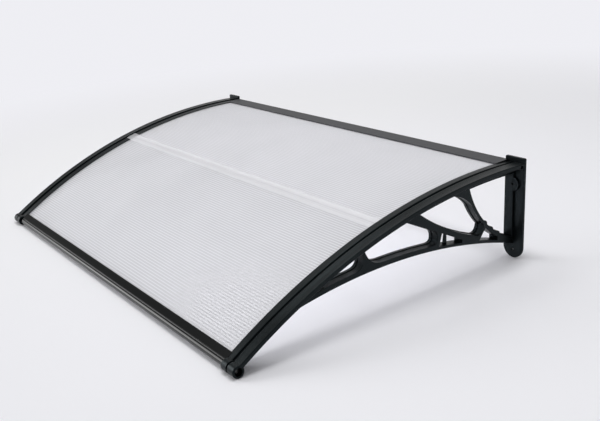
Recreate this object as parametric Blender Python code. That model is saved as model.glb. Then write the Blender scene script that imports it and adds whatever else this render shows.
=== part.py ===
"""Door canopy: two moulded wall brackets, two twin-wall sheets, their joining strip and two bars.

Outlines are drawn in millimetres in a design frame with X=0 in the middle, Y=0 on the wall,
the front towards -Y and Z=0 at the feet of the wall plates. Meshes are stored in metres.
"""

from math import acos, asin, atan2, cos, degrees, hypot, radians, sin, sqrt

import bmesh
import bpy
from mathutils import Vector

MM = 0.001

# Whole canopy
WIDTH = 1200.0
DEPTH = 739.9
ARM_WIDTH = 49.6
GAP = 0.3

# Roof arc: every height along the arms is counted outwards from this circle
ARC_RADIUS = 1263.4
ARC_CENTRE_Y = -5.6
ARC_TOP_Z = 214.0

# Arm section, heights over the arc and distances from the plate's inner face
LIP_OVERHANG = 4.8
LIP_RISE = 1.3
GROOVE_IN = 14.2
GROOVE_OUT = 22.4
GROOVE_DEPTH = 2.5
CREST_HEIGHT = 3.0
CREST_DISH = 0.6
CROWN_WALL = 3.0
SKIRT_DROP = 6.0
SKIRT_WALL = 3.0
ARM_TAPER = 5.4
ARM_SIDE_INSET = 0.6
EDGE_BREAK = 1.0
SLOT_DEPTH = 15.2
SUPPORT_WALL = 2.7
RAIL_WIDTH = 24.6
RAIL_DROP = 22.0
RAIL_NOSE_DROP = 17.0
RAIL_TAPER_ANGLE = 28.0
ARM_STEPS = 34

# Twin-wall sheets
SHEET_TOP = 2.0
SHEET_THICKNESS = 5.0
SKIN = 0.6
WEB = 0.5
FLUTE_PITCH = 6.2
SHEET_SIDE_GAP = 0.8
REAR_SHEET_BITE = 13.0
FRONT_SHEET_BITE = 8.6

# Joining strip
STRIP_ANGLE = 16.9
STRIP_WIDTH = 30.0
STRIP_WALL = 1.4
STRIP_END_GAP = 0.4
STRIP_TONGUE = 16.5
STRIP_RAMP = 22.0

# Wall bar
WALL_BAR_DEPTH = 37.0
WALL_BAR_FRONT_TOP = 215.6
WALL_BAR_BACK_TOP = 218.5
WALL_BAR_FOOT = 196.0
WALL_BAR_WALL = 1.8
WALL_BAR_SLOT = 14.5
BAR_END_GAP = 0.4
WALL_PORT_Y = -12.3
WALL_PORT_Z = 210.0

# Front bar, in (forward, outward) steps from the edge of its lip
BAR_AXIS_FORWARD = 22.3
BAR_AXIS_DROP = 6.0
BAR_TUBE_RADIUS = 7.5
BAR_TUBE_WALL = 1.6
BAR_RIDGE_AT = 18.6
BAR_RIDGE_HEIGHT = 2.2
BAR_RIDGE_SLOPE = 1.6
BAR_RIDGE_EDGE = 0.9
BAR_RIDGE_TOP = 1.0
BAR_SLOT = 10.0
BAR_FLANGE = 2.0
PORT_WALL = 1.5

# Nose of the arm
NOSE_RADIUS = 12.3
NOSE_STEP = 1.8
COLLAR_LENGTH = 17.4
NOSE_SLIT = 1.9
NOSE_SLIT_DEPTH = 2.2
RECESS_RADIUS = 8.0
RECESS_DEPTH = 8.0

# Wall plate
PLATE_TOP = 227.6
PLATE_THICKNESS = 5.7
PLATE_BEVEL = 2.4
PLATE_INSIDE = 3.0
PLATE_CORNER = 3.0
RIB_FRONT = 10.6
RIB_WIDTH = 24.2
RIB_BOTTOM = 40.0
WALL_BOSS_RADIUS = 15.5
WALL_HOLE_X = 22.6
WALL_HOLE_LOW = 18.7
WALL_HOLE_HIGH = 169.0
WALL_HOLE_RADIUS = 2.8

# Screws
BAR_SCREW_RADIUS = 2.1
BAR_SCREW_HEAD = 4.6
BAR_SCREW_HEAD_HEIGHT = 3.0
BAR_SCREW_BITE = 14.0
SIDE_SCREW_RADIUS = 1.9
SIDE_SCREW_HEAD = 3.8
SIDE_SCREW_HEAD_HEIGHT = 2.6
SIDE_SCREW_BITE = 12.0
SIDE_SCREW_SUNK = 7.5
SIDE_BOSS_WALL = 2.1
SCREW_PLAY = 0.3
SOCKET_DEPTH = 1.3

# Lattice under the arm; its curves go through two named places each
LATTICE_WIDTH = 24.1
LATTICE_INSET = 0.5
RIM_WIDTH = 7.2
RIM_STEP = 1.5
ROOT = 6.0
CHORD_WALL_Z = 31.0
CHORD_TIP_Y = -590.0
CHORD_RADIUS = 1150.0
CHORD_THICK_AT_WALL = 7.0
CHORD_THICKENING = 0.0205
CHORD_THICK = 10.5
STRUT_TOP_Y = -144.2
STRUT_FOOT_Z = 47.7
STRUT_RADIUS = 205.0
STRUT_THICK = 7.0
STRUT_THICK_AT_FOOT = 8.5
BRACE_TOP_Y = -287.0
BRACE_FOOT_Y = -121.0
BRACE_FOOT_Z = 77.9
BRACE_RADIUS = 576.0
BRACE_ROOT_Y = -323.5
BRACE_TAIL_Y = -168.0
BRACE_TAIL_Z = 82.3
GUSSET_FRONT_Y = -187.0
GUSSET_CORNER_Y = -156.0
GUSSET_DEPTH = 10.9
GUSSET_FOOT_Y = -135.3
MIDDLE_BACK_Y = -99.4
MIDDLE_CORNER_Y = -103.0
LONG_FRONT_Y = -424.0
LONG_BACK_Y = -234.5
LONG_CORNER = 19.5
LONG_FRONT_CORNER = 12.0
LONG_FRONT_BEND = 48.0
SLIM_FRONT_Y = -229.5
SLIM_LEAN = 8.0
SLIM_DROP = 4.4
SLIM_END = 2.4
FOOT_FRONT_Y = -111.5
FOOT_TOP_Y = -93.4
FOOT_DROP = 2.0
FOOT_END = 6.4
TIP_WEB = 6.0
TIP_CORNER = 24.0
TIP_LENGTH = 146.0
BEAD_RADIUS = 8.0
BEAD_HEIGHT = 3.8
BEAD_BITE = 1.8
BEAD_HIGH_Y = -93.0
BEAD_PITCH = 25.4
BEAD_SETBACK = 0.8
BEAD_ROUNDING = 2.0
POST_Y = -202.0
POST_THICK = 6.0
POST_LEAN = 3.5
POST_WIDTH = 4.5

ARM_INNER = WIDTH / 2 - ARM_WIDTH
BAR_HALF = ARM_INNER - BAR_END_GAP
SLOT_WALL = SLOT_DEPTH - LIP_OVERHANG
SHEET_HALF = ARM_INNER + SLOT_WALL - SHEET_SIDE_GAP
SHEET_BOTTOM = SHEET_TOP + SHEET_THICKNESS
ARC_CENTRE_Z = ARC_TOP_Z - ARC_RADIUS
WALL_BAR_MIDDLE = (WALL_BAR_FOOT + WALL_BAR_BACK_TOP) / 2
NOSE_OUTER = WIDTH / 2 - ARM_SIDE_INSET - ARM_TAPER - NOSE_STEP
TIP_BACK_Y = LONG_FRONT_Y - TIP_WEB


# Places on the roof arc


def on_arc(angle, height=0.0):
    """(y, z) at an angle in degrees forward of the arc's top, this far outside the circle."""
    reach = ARC_RADIUS + height
    return ARC_CENTRE_Y - reach * sin(radians(angle)), ARC_CENTRE_Z + reach * cos(radians(angle))


def arc_angle(y, height=0.0):
    return degrees(asin((ARC_CENTRE_Y - y) / (ARC_RADIUS + height)))


def rail_z(y, height):
    return ARC_CENTRE_Z + sqrt((ARC_RADIUS + height) ** 2 - (y - ARC_CENTRE_Y) ** 2)


def beyond(angle, forward, height):
    """(y, z) this far straight on from the arc at an angle."""
    y, z = on_arc(angle, height)
    return y - forward * cos(radians(angle)), z - forward * sin(radians(angle))


def lip_angle():
    """Angle of the front bar's lip that puts the noses' front at the full depth."""
    down = ARC_RADIUS - BAR_AXIS_DROP
    reach = DEPTH - NOSE_RADIUS + ARC_CENTRE_Y
    return degrees(asin(reach / hypot(down, BAR_AXIS_FORWARD)) - atan2(BAR_AXIS_FORWARD, down))


FRONT_LIP_ANGLE = lip_angle()
BAR_AXIS = beyond(FRONT_LIP_ANGLE, BAR_AXIS_FORWARD, -BAR_AXIS_DROP)
NOSE_ANGLE = degrees(atan2(ARC_CENTRE_Y - BAR_AXIS[0], BAR_AXIS[1] - ARC_CENTRE_Z))
ARM_REAR_ANGLE = arc_angle(-PLATE_THICKNESS / 2)


# Outline helpers


def round_points(centre, radius, start, end, steps):
    """Points of a circle from one angle to the other, in degrees, both ends included."""
    angles = [radians(start + (end - start) * i / steps) for i in range(steps + 1)]
    return [(centre[0] + radius * cos(a), centre[1] + radius * sin(a)) for a in angles]


def ring(centre, radius, steps=32):
    return round_points(centre, radius, 0, 360, steps)[:-1]


def bend(start, corner, end, steps=5):
    """A curved corner: a quadratic curve pulled towards the corner point."""
    points = []
    for i in range(steps + 1):
        t = i / steps
        weights = ((1 - t) ** 2, 2 * t * (1 - t), t * t)
        points.append(tuple(sum(w * p[k] for w, p in zip(weights, (start, corner, end))) for k in (0, 1)))
    return points


def inset(outline, distance):
    """The outline of an opening moved inwards by a distance, with long corners held back."""
    area = sum(a[0] * b[1] - b[0] * a[1] for a, b in zip(outline, outline[1:] + outline[:1]))
    turn = 1 if area > 0 else -1
    moved = []
    for before, here, after in zip(outline[-1:] + outline[:-1], outline, outline[1:] + outline[:1]):
        sides = []
        for a, b in ((before, here), (here, after)):
            length = hypot(b[0] - a[0], b[1] - a[1])
            sides.append(Vector(((a[1] - b[1]) / length, (b[0] - a[0]) / length)) * turn)
        middle = (sides[0] + sides[1]).normalized()
        reach = distance / max(middle.dot(sides[0]), 0.5)
        moved.append((here[0] + middle.x * reach, here[1] + middle.y * reach))
    return moved


# Mesh helpers


def add_object(name, rings):
    """A closed body through rings of equally many points, in millimetres."""
    mesh = bmesh.new()
    rows = [[mesh.verts.new(Vector(point) * MM) for point in row] for row in rings]
    count = len(rows[0])
    for low, high in zip(rows, rows[1:]):
        for i in range(count):
            j = (i + 1) % count
            mesh.faces.new((low[i], low[j], high[j], high[i]))
    mesh.faces.new(rows[0])
    mesh.faces.new(rows[-1])
    bmesh.ops.recalc_face_normals(mesh, faces=mesh.faces)
    return from_bmesh(name, mesh)


def from_bmesh(name, mesh):
    data = bpy.data.meshes.new(name)
    mesh.to_mesh(data)
    mesh.free()
    made = bpy.data.objects.new(name, data)
    bpy.context.scene.collection.objects.link(made)
    return made


def along_x(name, layers):
    """A body through (x, outline in y and z) layers."""
    return add_object(name, [[(x, y, z) for y, z in outline] for x, outline in layers])


def along_y(name, layers):
    """A body through (y, outline in x and z) layers."""
    return add_object(name, [[(x, y, z) for x, z in outline] for y, outline in layers])


def turned(name, side, axis, profile, steps=32):
    """A body of (x, radius) steps turned about a line parallel to X."""
    return along_x(name, [(side * x, ring(axis, radius, steps)) for x, radius in profile])


def boolean(body, other, operation):
    modifier = body.modifiers.new(f"{operation.lower()} {other.name}", "BOOLEAN")
    modifier.operation = operation
    modifier.solver = "EXACT"
    modifier.object = other
    other.hide_render = True
    other.display_type = "WIRE"
    other.parent = body


def join(body, *others):
    for other in others:
        boolean(body, other, "UNION")


def cut(body, *others):
    for other in others:
        boolean(body, other, "DIFFERENCE")


def finish(body, material, smooth_angle=35.0):
    """Colour the body, shade it smooth over gentle edges only and hang it in the frame."""
    body.data.materials.append(material)
    body.data.shade_smooth()
    body.data.set_sharp_from_angle(angle=radians(smooth_angle))
    body.parent = FRAME
    return body


def plain_material(name, colour, roughness, metallic=0.0, alpha=1.0):
    material = bpy.data.materials.new(name)
    material.use_nodes = True
    shader = material.node_tree.nodes["Principled BSDF"]
    shader.inputs["Base Color"].default_value = (*colour, 1.0)
    shader.inputs["Roughness"].default_value = roughness
    shader.inputs["Metallic"].default_value = metallic
    shader.inputs["Alpha"].default_value = alpha
    material.diffuse_color = (*colour, alpha)
    return material


# Bracket


def arm_section(angle):
    """(x from the plate's inner face, height) round the arm's section at one station."""
    along = (angle - ARM_REAR_ANGLE) / (NOSE_ANGLE - ARM_REAR_ANGLE)
    side = ARM_WIDTH - ARM_SIDE_INSET - ARM_TAPER * along
    thinning = max(0.0, (angle - RAIL_TAPER_ANGLE) / (NOSE_ANGLE - RAIL_TAPER_ANGLE))
    rail = -RAIL_DROP + (RAIL_DROP - RAIL_NOSE_DROP) * thinning
    slot_top = -SHEET_TOP + GAP
    slot_low = -SHEET_BOTTOM - GAP
    return [
        (-LIP_OVERHANG, 0.0),
        (GROOVE_IN - EDGE_BREAK, LIP_RISE),
        (GROOVE_IN, LIP_RISE - EDGE_BREAK),
        (GROOVE_IN, -GROOVE_DEPTH),
        (GROOVE_OUT, -GROOVE_DEPTH),
        (GROOVE_OUT, CREST_HEIGHT - EDGE_BREAK),
        (GROOVE_OUT + EDGE_BREAK, CREST_HEIGHT),
        ((GROOVE_OUT + side) / 2, CREST_HEIGHT - CREST_DISH),
        (side - EDGE_BREAK, CREST_HEIGHT),
        (side, CREST_HEIGHT - EDGE_BREAK),
        (side, -SKIRT_DROP),
        (side - SKIRT_WALL, -SKIRT_DROP),
        (side - SKIRT_WALL, CREST_HEIGHT - CROWN_WALL),
        (RAIL_WIDTH, CREST_HEIGHT - CROWN_WALL),
        (RAIL_WIDTH, rail),
        (GAP, rail),
        (GAP, slot_low - SUPPORT_WALL),
        (-LIP_OVERHANG, slot_low - SUPPORT_WALL),
        (-LIP_OVERHANG, slot_low),
        (SLOT_WALL, slot_low),
        (SLOT_WALL, slot_top),
        (-LIP_OVERHANG, slot_top),
    ]


def arm(side):
    """The swept arm, notched at both ends where the bars come in under its lips."""
    rows = []
    for i in range(ARM_STEPS + 1):
        angle = ARM_REAR_ANGLE + (NOSE_ANGLE - ARM_REAR_ANGLE) * i / ARM_STEPS
        rows.append([(side * (ARM_INNER + x), *on_arc(angle, h)) for x, h in arm_section(angle)])
    body = add_object(f"arm {side}", rows)
    notch = [side * (ARM_INNER - 4 * LIP_OVERHANG), side * (ARM_INNER + GAP / 2)]
    rear_edge = -WALL_BAR_DEPTH - GAP
    deep = ARC_TOP_Z - 3 * RAIL_DROP
    high = PLATE_TOP + RAIL_DROP
    rear = [(rear_edge, deep), (rear_edge, high), (RAIL_DROP, high), (RAIL_DROP, deep)]
    edge = FRONT_LIP_ANGLE - degrees(GAP / ARC_RADIUS)
    front = [
        beyond(edge, 0, -3 * RAIL_DROP),
        beyond(edge, 0, RAIL_DROP),
        beyond(edge, 4 * NOSE_RADIUS, RAIL_DROP),
        beyond(edge, 4 * NOSE_RADIUS, -3 * RAIL_DROP),
    ]
    cut(body, along_x(f"rear notch {side}", [(x, rear) for x in notch]))
    cut(body, along_x(f"front notch {side}", [(x, front) for x in notch]))
    return body


def centre_of(start, end, radius, turn):
    """Centre of the circle through two (y, z) places; turn 1 puts it on the left of start to end."""
    across = (end[0] - start[0], end[1] - start[1])
    half = hypot(*across) / 2
    reach = turn * sqrt(radius**2 - half**2) / (2 * half)
    return (
        (start[0] + end[0]) / 2 - across[1] * reach,
        (start[1] + end[1]) / 2 + across[0] * reach,
    )


def on_rail(y, inside=0.0):
    """A point on the rail's underside, or this far inside the rail."""
    return y, rail_z(y, inside - RAIL_DROP)


CHORD_CENTRE = centre_of((0.0, CHORD_WALL_Z), on_rail(CHORD_TIP_Y, 0.5 * ROOT), CHORD_RADIUS, 1)
STRUT_CENTRE = centre_of(on_rail(STRUT_TOP_Y, ROOT), (-RIB_FRONT / 2, STRUT_FOOT_Z), STRUT_RADIUS, 1)
BRACE_CENTRE = centre_of(on_rail(BRACE_TOP_Y, ROOT), (BRACE_FOOT_Y, BRACE_FOOT_Z), BRACE_RADIUS, 1)
BRACE_ROOT_Z = on_rail(BRACE_ROOT_Y, ROOT)[1]


def chord_low(y):
    return CHORD_CENTRE[1] + sqrt(CHORD_RADIUS**2 - (y - CHORD_CENTRE[0]) ** 2)


def chord_top(y):
    return chord_low(y) + min(CHORD_THICK, CHORD_THICK_AT_WALL - CHORD_THICKENING * y)


def brace_top(y):
    return BRACE_CENTRE[1] - sqrt(BRACE_RADIUS**2 - (y - BRACE_CENTRE[0]) ** 2)


def brace_low(y):
    slope = (BRACE_TAIL_Z - BRACE_ROOT_Z) / (BRACE_TAIL_Y - BRACE_ROOT_Y)
    return BRACE_ROOT_Z + slope * (y - BRACE_ROOT_Y)


def strut_low(y, thick=0.0):
    """The strut's wall side, or its front side when a thickness is given."""
    return STRUT_CENTRE[1] - sqrt((STRUT_RADIUS + thick) ** 2 - (y - STRUT_CENTRE[0]) ** 2)


def strut_front(y):
    return strut_low(y, STRUT_THICK)


def strut_foot(y):
    return strut_low(y, STRUT_THICK_AT_FOOT)


def curve(function, start, end, steps):
    ys = [start + (end - start) * i / steps for i in range(steps + 1)]
    return [(y, function(y)) for y in ys]


def closing(upper, lower, height, start, end):
    """The y between start and end where two edges have come this close to each other."""
    for _ in range(40):
        middle = (start + end) / 2
        if upper(middle) - lower(middle) > height:
            start = middle
        else:
            end = middle
    return start


def wall_opening():
    """Between the wall plate, the rail and the curved strut."""
    rib = -RIB_FRONT / 2
    return [on_rail(rib, ROOT)] + curve(strut_low, STRUT_TOP_Y, rib, 18)


def middle_opening():
    """Between the rail, the strut and the brace, with a gusset under the rail."""
    strut = curve(strut_front, GUSSET_FOOT_Y, MIDDLE_BACK_Y, 6)
    foot = (BRACE_FOOT_Y, brace_top(BRACE_FOOT_Y))
    return (
        [on_rail(GUSSET_FRONT_Y - ROOT / 2, ROOT)]
        + bend(on_rail(GUSSET_FRONT_Y), on_rail(GUSSET_CORNER_Y, -GUSSET_DEPTH), strut[0])
        + strut[1:]
        + bend(strut[-1], (MIDDLE_CORNER_Y, brace_top(MIDDLE_CORNER_Y) + RIM_STEP), foot)[1:]
        + curve(brace_top, BRACE_FOOT_Y - 4 * ROOT, BRACE_TOP_Y, 6)
    )


def long_opening():
    """Between the rail, the brace and the lower chord, with a round end at the upright."""
    back = LONG_BACK_Y
    middle = (brace_low(back) + chord_top(back)) / 2
    high_start = back - LONG_CORNER / 2
    low_end = back - LONG_CORNER
    front_bend = LONG_FRONT_Y + LONG_FRONT_BEND
    front_corner = LONG_FRONT_Y + LONG_FRONT_CORNER
    return (
        [on_rail(LONG_FRONT_Y, ROOT), (BRACE_ROOT_Y, BRACE_ROOT_Z)]
        + bend((high_start, brace_low(high_start)), (back, brace_low(back)), (back, middle + GAP))
        + bend((back, middle - GAP), (back, chord_top(back)), (low_end, chord_top(low_end)))
        + curve(chord_top, low_end - 5 * ROOT, front_bend + 5 * ROOT, 2)
        + bend(
            (front_bend, chord_top(front_bend)),
            (front_corner, chord_top(front_corner)),
            on_rail(LONG_FRONT_Y),
        )
    )


def slim_floor(y):
    return chord_top(y) - SLIM_DROP


def foot_floor(y):
    return chord_top(y) - FOOT_DROP


def slim_opening():
    """The slim triangle behind the upright, which the thin post crosses."""
    end = closing(brace_low, chord_top, SLIM_END, POST_Y, 0.0)
    front = SLIM_FRONT_Y + SLIM_LEAN
    return curve(slim_floor, SLIM_FRONT_Y, end, 3) + curve(brace_low, end, front, 1)


def foot_opening():
    """The small triangle between the strut and the lower chord."""
    end = closing(strut_foot, chord_top, FOOT_END, FOOT_TOP_Y, 0.0)
    return curve(foot_floor, FOOT_FRONT_Y, end, 3) + curve(strut_foot, end, FOOT_TOP_Y, 5)


def tip_opening():
    """The last opening, which runs out to a sharp tip where the chord meets the rail."""
    start = TIP_BACK_Y - TIP_CORNER
    back = (on_rail(TIP_BACK_Y)[1] + chord_top(TIP_BACK_Y)) / 2
    return (
        [on_rail(TIP_BACK_Y, ROOT)]
        + bend((TIP_BACK_Y + GAP, back), (TIP_BACK_Y, chord_top(TIP_BACK_Y)), (start, chord_top(start)))
        + curve(chord_top, start - 5 * ROOT, TIP_BACK_Y - TIP_LENGTH, 3)
    )


def lattice(side):
    """The pierced ribbon: one blank from the chord to inside the rail, less its openings."""
    back = -PLATE_THICKNESS / 2
    low_points = curve(chord_low, back, CHORD_TIP_Y, 20)
    top_points = [on_rail(CHORD_TIP_Y + (back - CHORD_TIP_Y) * i / 10, 1.5 * ROOT) for i in range(11)]
    inner = ARM_INNER + LATTICE_INSET
    outer = ARM_INNER + LATTICE_INSET + LATTICE_WIDTH
    blank = along_x(f"lattice {side}", [(side * x, low_points + top_points) for x in (inner, outer)])
    openings = (
        wall_opening,
        middle_opening,
        long_opening,
        slim_opening,
        foot_opening,
        tip_opening,
    )
    for opening in openings:
        wide = opening()
        narrow = wide if opening in (slim_opening, foot_opening) else inset(wide, RIM_STEP)
        layers = (
            (inner - ROOT, narrow),
            (inner + RIM_WIDTH - RIM_STEP / 2, narrow),
            (inner + RIM_WIDTH, wide),
            (outer + ROOT, wide),
        )
        cut(blank, along_x(f"{opening.__name__} {side}", [(side * x, line) for x, line in layers]))
    return blank


def wall_plate(side):
    """The flat plate with a round foot and a bite where the wall bar's end sits."""
    half = (ARM_WIDTH + PLATE_INSIDE) / 2
    middle = ARM_INNER + ARM_WIDTH - half
    left, right = middle - half, middle + half
    bar_top = WALL_BAR_BACK_TOP + GAP
    bar_foot = WALL_BAR_FOOT - GAP
    outline = (
        round_points((middle, half), half, 180, 360, 20)
        + [(right, PLATE_TOP - PLATE_CORNER), (right - PLATE_CORNER, PLATE_TOP)]
        + [(left + PLATE_CORNER, PLATE_TOP), (left, PLATE_TOP - PLATE_CORNER)]
        + [(left, bar_top), (ARM_INNER, bar_top), (ARM_INNER, bar_foot), (left, bar_foot)]
    )
    outline = [(side * x, z) for x, z in outline]
    front = inset(outline, PLATE_BEVEL)
    return along_y(
        f"plate {side}",
        [(0.0, outline), (PLATE_BEVEL - PLATE_THICKNESS, outline), (-PLATE_THICKNESS, front)],
    )


def wall_rib(side):
    left = ARM_INNER + LATTICE_INSET + GAP
    right = ARM_INNER + RIB_WIDTH
    top = ARC_TOP_Z - RAIL_DROP + ROOT
    corners = [(left, RIB_BOTTOM), (right, RIB_BOTTOM), (right, top), (left, top)]
    outline = [(side * x, z) for x, z in corners]
    return along_y(f"rib {side}", [(-PLATE_THICKNESS / 2, outline), (-RIB_FRONT, outline)])


def wall_boss(side):
    """The round pad of the upper wall screw, flush with the rib."""
    outline = ring((side * (ARM_INNER + WALL_HOLE_X), WALL_HOLE_HIGH), WALL_BOSS_RADIUS, 36)
    inner = side * (ARM_INNER + LATTICE_INSET + 2 * GAP)
    outline = [(side * max(side * x, side * inner), z) for x, z in outline]
    return along_y(f"boss {side}", [(-PLATE_THICKNESS / 2, outline), (GAP - RIB_FRONT, outline)])


def nose(side):
    """The round nose: a collar at the bar's end, a slit and the outer part."""
    start = ARM_INNER + GAP
    slit = ARM_INNER + COLLAR_LENGTH
    neck = NOSE_RADIUS - NOSE_SLIT_DEPTH
    profile = (
        (start, NOSE_RADIUS - EDGE_BREAK),
        (start + EDGE_BREAK, NOSE_RADIUS),
        (slit, NOSE_RADIUS),
        (slit, neck),
        (slit + NOSE_SLIT, neck),
        (slit + NOSE_SLIT, NOSE_RADIUS),
        (NOSE_OUTER + GAP - EDGE_BREAK, NOSE_RADIUS),
        (NOSE_OUTER + GAP, NOSE_RADIUS - EDGE_BREAK),
    )
    return turned(f"nose {side}", side, BAR_AXIS, profile, 40)


def beads(side):
    """Three round-backed beads on the wall side of the strut, rounded off at both ends."""
    high = atan2(strut_low(BEAD_HIGH_Y) - STRUT_CENTRE[1], BEAD_HIGH_Y - STRUT_CENTRE[0])
    sunk = BEAD_RADIUS - BEAD_HEIGHT
    near = ARM_INNER + LATTICE_INSET + BEAD_SETBACK
    far = ARM_INNER + LATTICE_INSET + LATTICE_WIDTH - BEAD_SETBACK
    turns = [radians(t) for t in (0, 30, 60, 90)]
    steps = [(BEAD_ROUNDING * (1 - sin(t)), BEAD_ROUNDING * (1 - cos(t))) for t in turns]
    ends = [(near + back, lower) for lower, back in steps]
    ends += [(far - back, lower) for lower, back in reversed(steps)]
    made = []
    for i in range(3):
        angle = degrees(high + BEAD_PITCH / STRUT_RADIUS * i)
        spot = round_points(STRUT_CENTRE, STRUT_RADIUS + sunk, angle, 0, 1)[0]
        layers = []
        for x, lower in ends:
            radius = BEAD_RADIUS - lower
            half = degrees(acos((sunk - BEAD_BITE) / radius))
            arc = round_points(spot, radius, angle + 180 - half, angle + 180 + half, 12)
            layers.append((side * x, arc))
        made.append(along_x(f"bead {i} {side}", layers))
    return made


def post(side):
    """The thin post that crosses the slim triangle in the middle of the ribbon."""
    middle = ARM_INNER + LATTICE_INSET + LATTICE_WIDTH / 2
    low = slim_floor(POST_Y) - ROOT / 2
    top = brace_low(POST_Y) + ROOT / 2
    front, back = POST_Y - POST_THICK / 2, POST_Y + POST_THICK / 2
    outline = [(front - POST_LEAN, low), (front, top), (back, top), (back, low)]
    ends = (middle - POST_WIDTH / 2, middle + POST_WIDTH / 2)
    return along_x(f"post {side}", [(side * x, outline) for x in ends])


def side_boss(side):
    """The boss that the wall bar's end screw goes through, at the root of the arm."""
    reach = SIDE_SCREW_HEAD + SCREW_PLAY + SIDE_BOSS_WALL
    ends = (ARM_INNER + RAIL_WIDTH - ROOT / 2, ARM_INNER + ARM_WIDTH - 2 * ARM_SIDE_INSET)
    return turned(f"side boss {side}", side, (WALL_PORT_Y, WALL_PORT_Z), [(x, reach) for x in ends])


def stepped_hole(name, side, axis, floor, head, shank, outer):
    """A through hole along X with a wider recess from the outside down to its floor."""
    start = ARM_INNER - ROOT
    profile = ((start, shank), (floor, shank), (floor, head), (outer + ROOT, head))
    return turned(name, side, axis, profile)


def wall_hole(side, z):
    outline = ring((side * (ARM_INNER + WALL_HOLE_X), z), WALL_HOLE_RADIUS, 24)
    return along_y(f"wall hole {z:.0f} {side}", [(ROOT, outline), (-RIB_FRONT - ROOT, outline)])


def side_head_floor():
    return WIDTH / 2 - SIDE_SCREW_SUNK - GAP


def nose_head_floor():
    return NOSE_OUTER - RECESS_DEPTH


def bracket(name, side, material):
    """One moulded bracket; side is 1 for the right and -1 for the left."""
    body = arm(side)
    body.name = name
    join(body, lattice(side), wall_plate(side), wall_rib(side), wall_boss(side), nose(side))
    join(body, *beads(side), post(side), side_boss(side))
    cut(
        body,
        stepped_hole(
            f"nose hole {side}",
            side,
            BAR_AXIS,
            nose_head_floor(),
            RECESS_RADIUS,
            BAR_SCREW_RADIUS + SCREW_PLAY,
            WIDTH / 2,
        ),
        stepped_hole(
            f"side hole {side}",
            side,
            (WALL_PORT_Y, WALL_PORT_Z),
            side_head_floor(),
            SIDE_SCREW_HEAD + SCREW_PLAY,
            SIDE_SCREW_RADIUS + SCREW_PLAY,
            WIDTH / 2,
        ),
        wall_hole(side, WALL_HOLE_LOW),
        wall_hole(side, WALL_HOLE_HIGH),
    )
    return finish(body, material)


# Sheets


def fluted_sheet(name, rear_angle, front_angle, material):
    """A bent twin-wall sheet; its flutes run from arm to arm and are open at both ends."""
    length = radians(front_angle - rear_angle) * (ARC_RADIUS - SHEET_TOP)
    cells = round(length / FLUTE_PITCH)
    half_web = degrees(WEB / 2 / (ARC_RADIUS - SHEET_TOP))
    pitch = (front_angle - rear_angle - 2 * half_web) / cells
    heights = (-SHEET_BOTTOM, SKIN - SHEET_BOTTOM, -SKIN - SHEET_TOP, -SHEET_TOP)
    mesh = bmesh.new()

    def column(angle, x):
        return [mesh.verts.new(Vector((x, *on_arc(angle, h))) * MM) for h in heights]

    ends = []
    for x in (-SHEET_HALF, SHEET_HALF):
        columns = []
        for i in range(cells + 1):
            web = rear_angle + half_web + pitch * i
            columns += [column(web - half_web, x), column(web + half_web, x)]
        ends.append(columns)
    left, right = ends
    last = len(left) - 1
    for i in range(last):
        levels = (0, 1, 2) if i % 2 == 0 else (0, 2)
        for columns in ends:
            here, after = columns[i], columns[i + 1]
            for k in levels:
                mesh.faces.new((here[k], here[k + 1], after[k + 1], after[k]))
        skins = (0, 3) if i % 2 == 0 else (0, 1, 2, 3)
        for k in skins:
            mesh.faces.new((left[i][k], left[i + 1][k], right[i + 1][k], right[i][k]))
        if i % 2:
            for j in (i, i + 1):
                mesh.faces.new((left[j][1], left[j][2], right[j][2], right[j][1]))
    for j in (0, last):
        for k in (0, 1, 2):
            mesh.faces.new((left[j][k], left[j][k + 1], right[j][k + 1], right[j][k]))
    bmesh.ops.recalc_face_normals(mesh, faces=mesh.faces)
    return finish(from_bmesh(name, mesh), material)


# Joining strip


def joining_strip(material):
    """An H profile between the sheets; its cover runs on over the left arm's lip."""

    def beside(forward, height):
        return beyond(STRIP_ANGLE, forward, height)

    half = STRIP_WIDTH / 2
    end = ARM_INNER - LIP_OVERHANG - STRIP_END_GAP
    under = -SHEET_TOP + GAP
    over = under + STRIP_WALL
    low = -SHEET_BOTTOM - GAP
    web = STRIP_WALL / 2
    body = along_x(
        "joining_strip",
        [
            (
                x,
                [
                    beside(-web, low),
                    beside(-half, low),
                    beside(-half, low - STRIP_WALL),
                    beside(half, low - STRIP_WALL),
                    beside(half, low),
                    beside(web, low),
                    beside(web, over - STRIP_WALL / 2),
                    beside(-web, over - STRIP_WALL / 2),
                ],
            )
            for x in (-end, end)
        ],
    )
    lip_edge = end + STRIP_END_GAP
    tongue = lip_edge + STRIP_TONGUE
    climb = LIP_RISE * STRIP_TONGUE / (GROOVE_IN - EDGE_BREAK + LIP_OVERHANG)
    cover = [
        (end, under, over),
        (STRIP_RAMP - end, under, over),
        (-lip_edge, 2 * GAP, 2 * GAP + STRIP_WALL),
        (-tongue, 2 * GAP + climb, 2 * GAP + climb + STRIP_WALL),
    ]
    rows = []
    for x, bottom, top in cover:
        corners = (beside(-half, bottom), beside(-half, top), beside(half, top), beside(half, bottom))
        rows.append([(x, y, z) for y, z in corners])
    join(body, add_object("strip cover", rows))
    return finish(body, material)


# Bars


def port(name, centre, radius, half):
    return along_x(name, [(x, ring(centre, radius, 24)) for x in (-half - ROOT, half + ROOT)])


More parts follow.
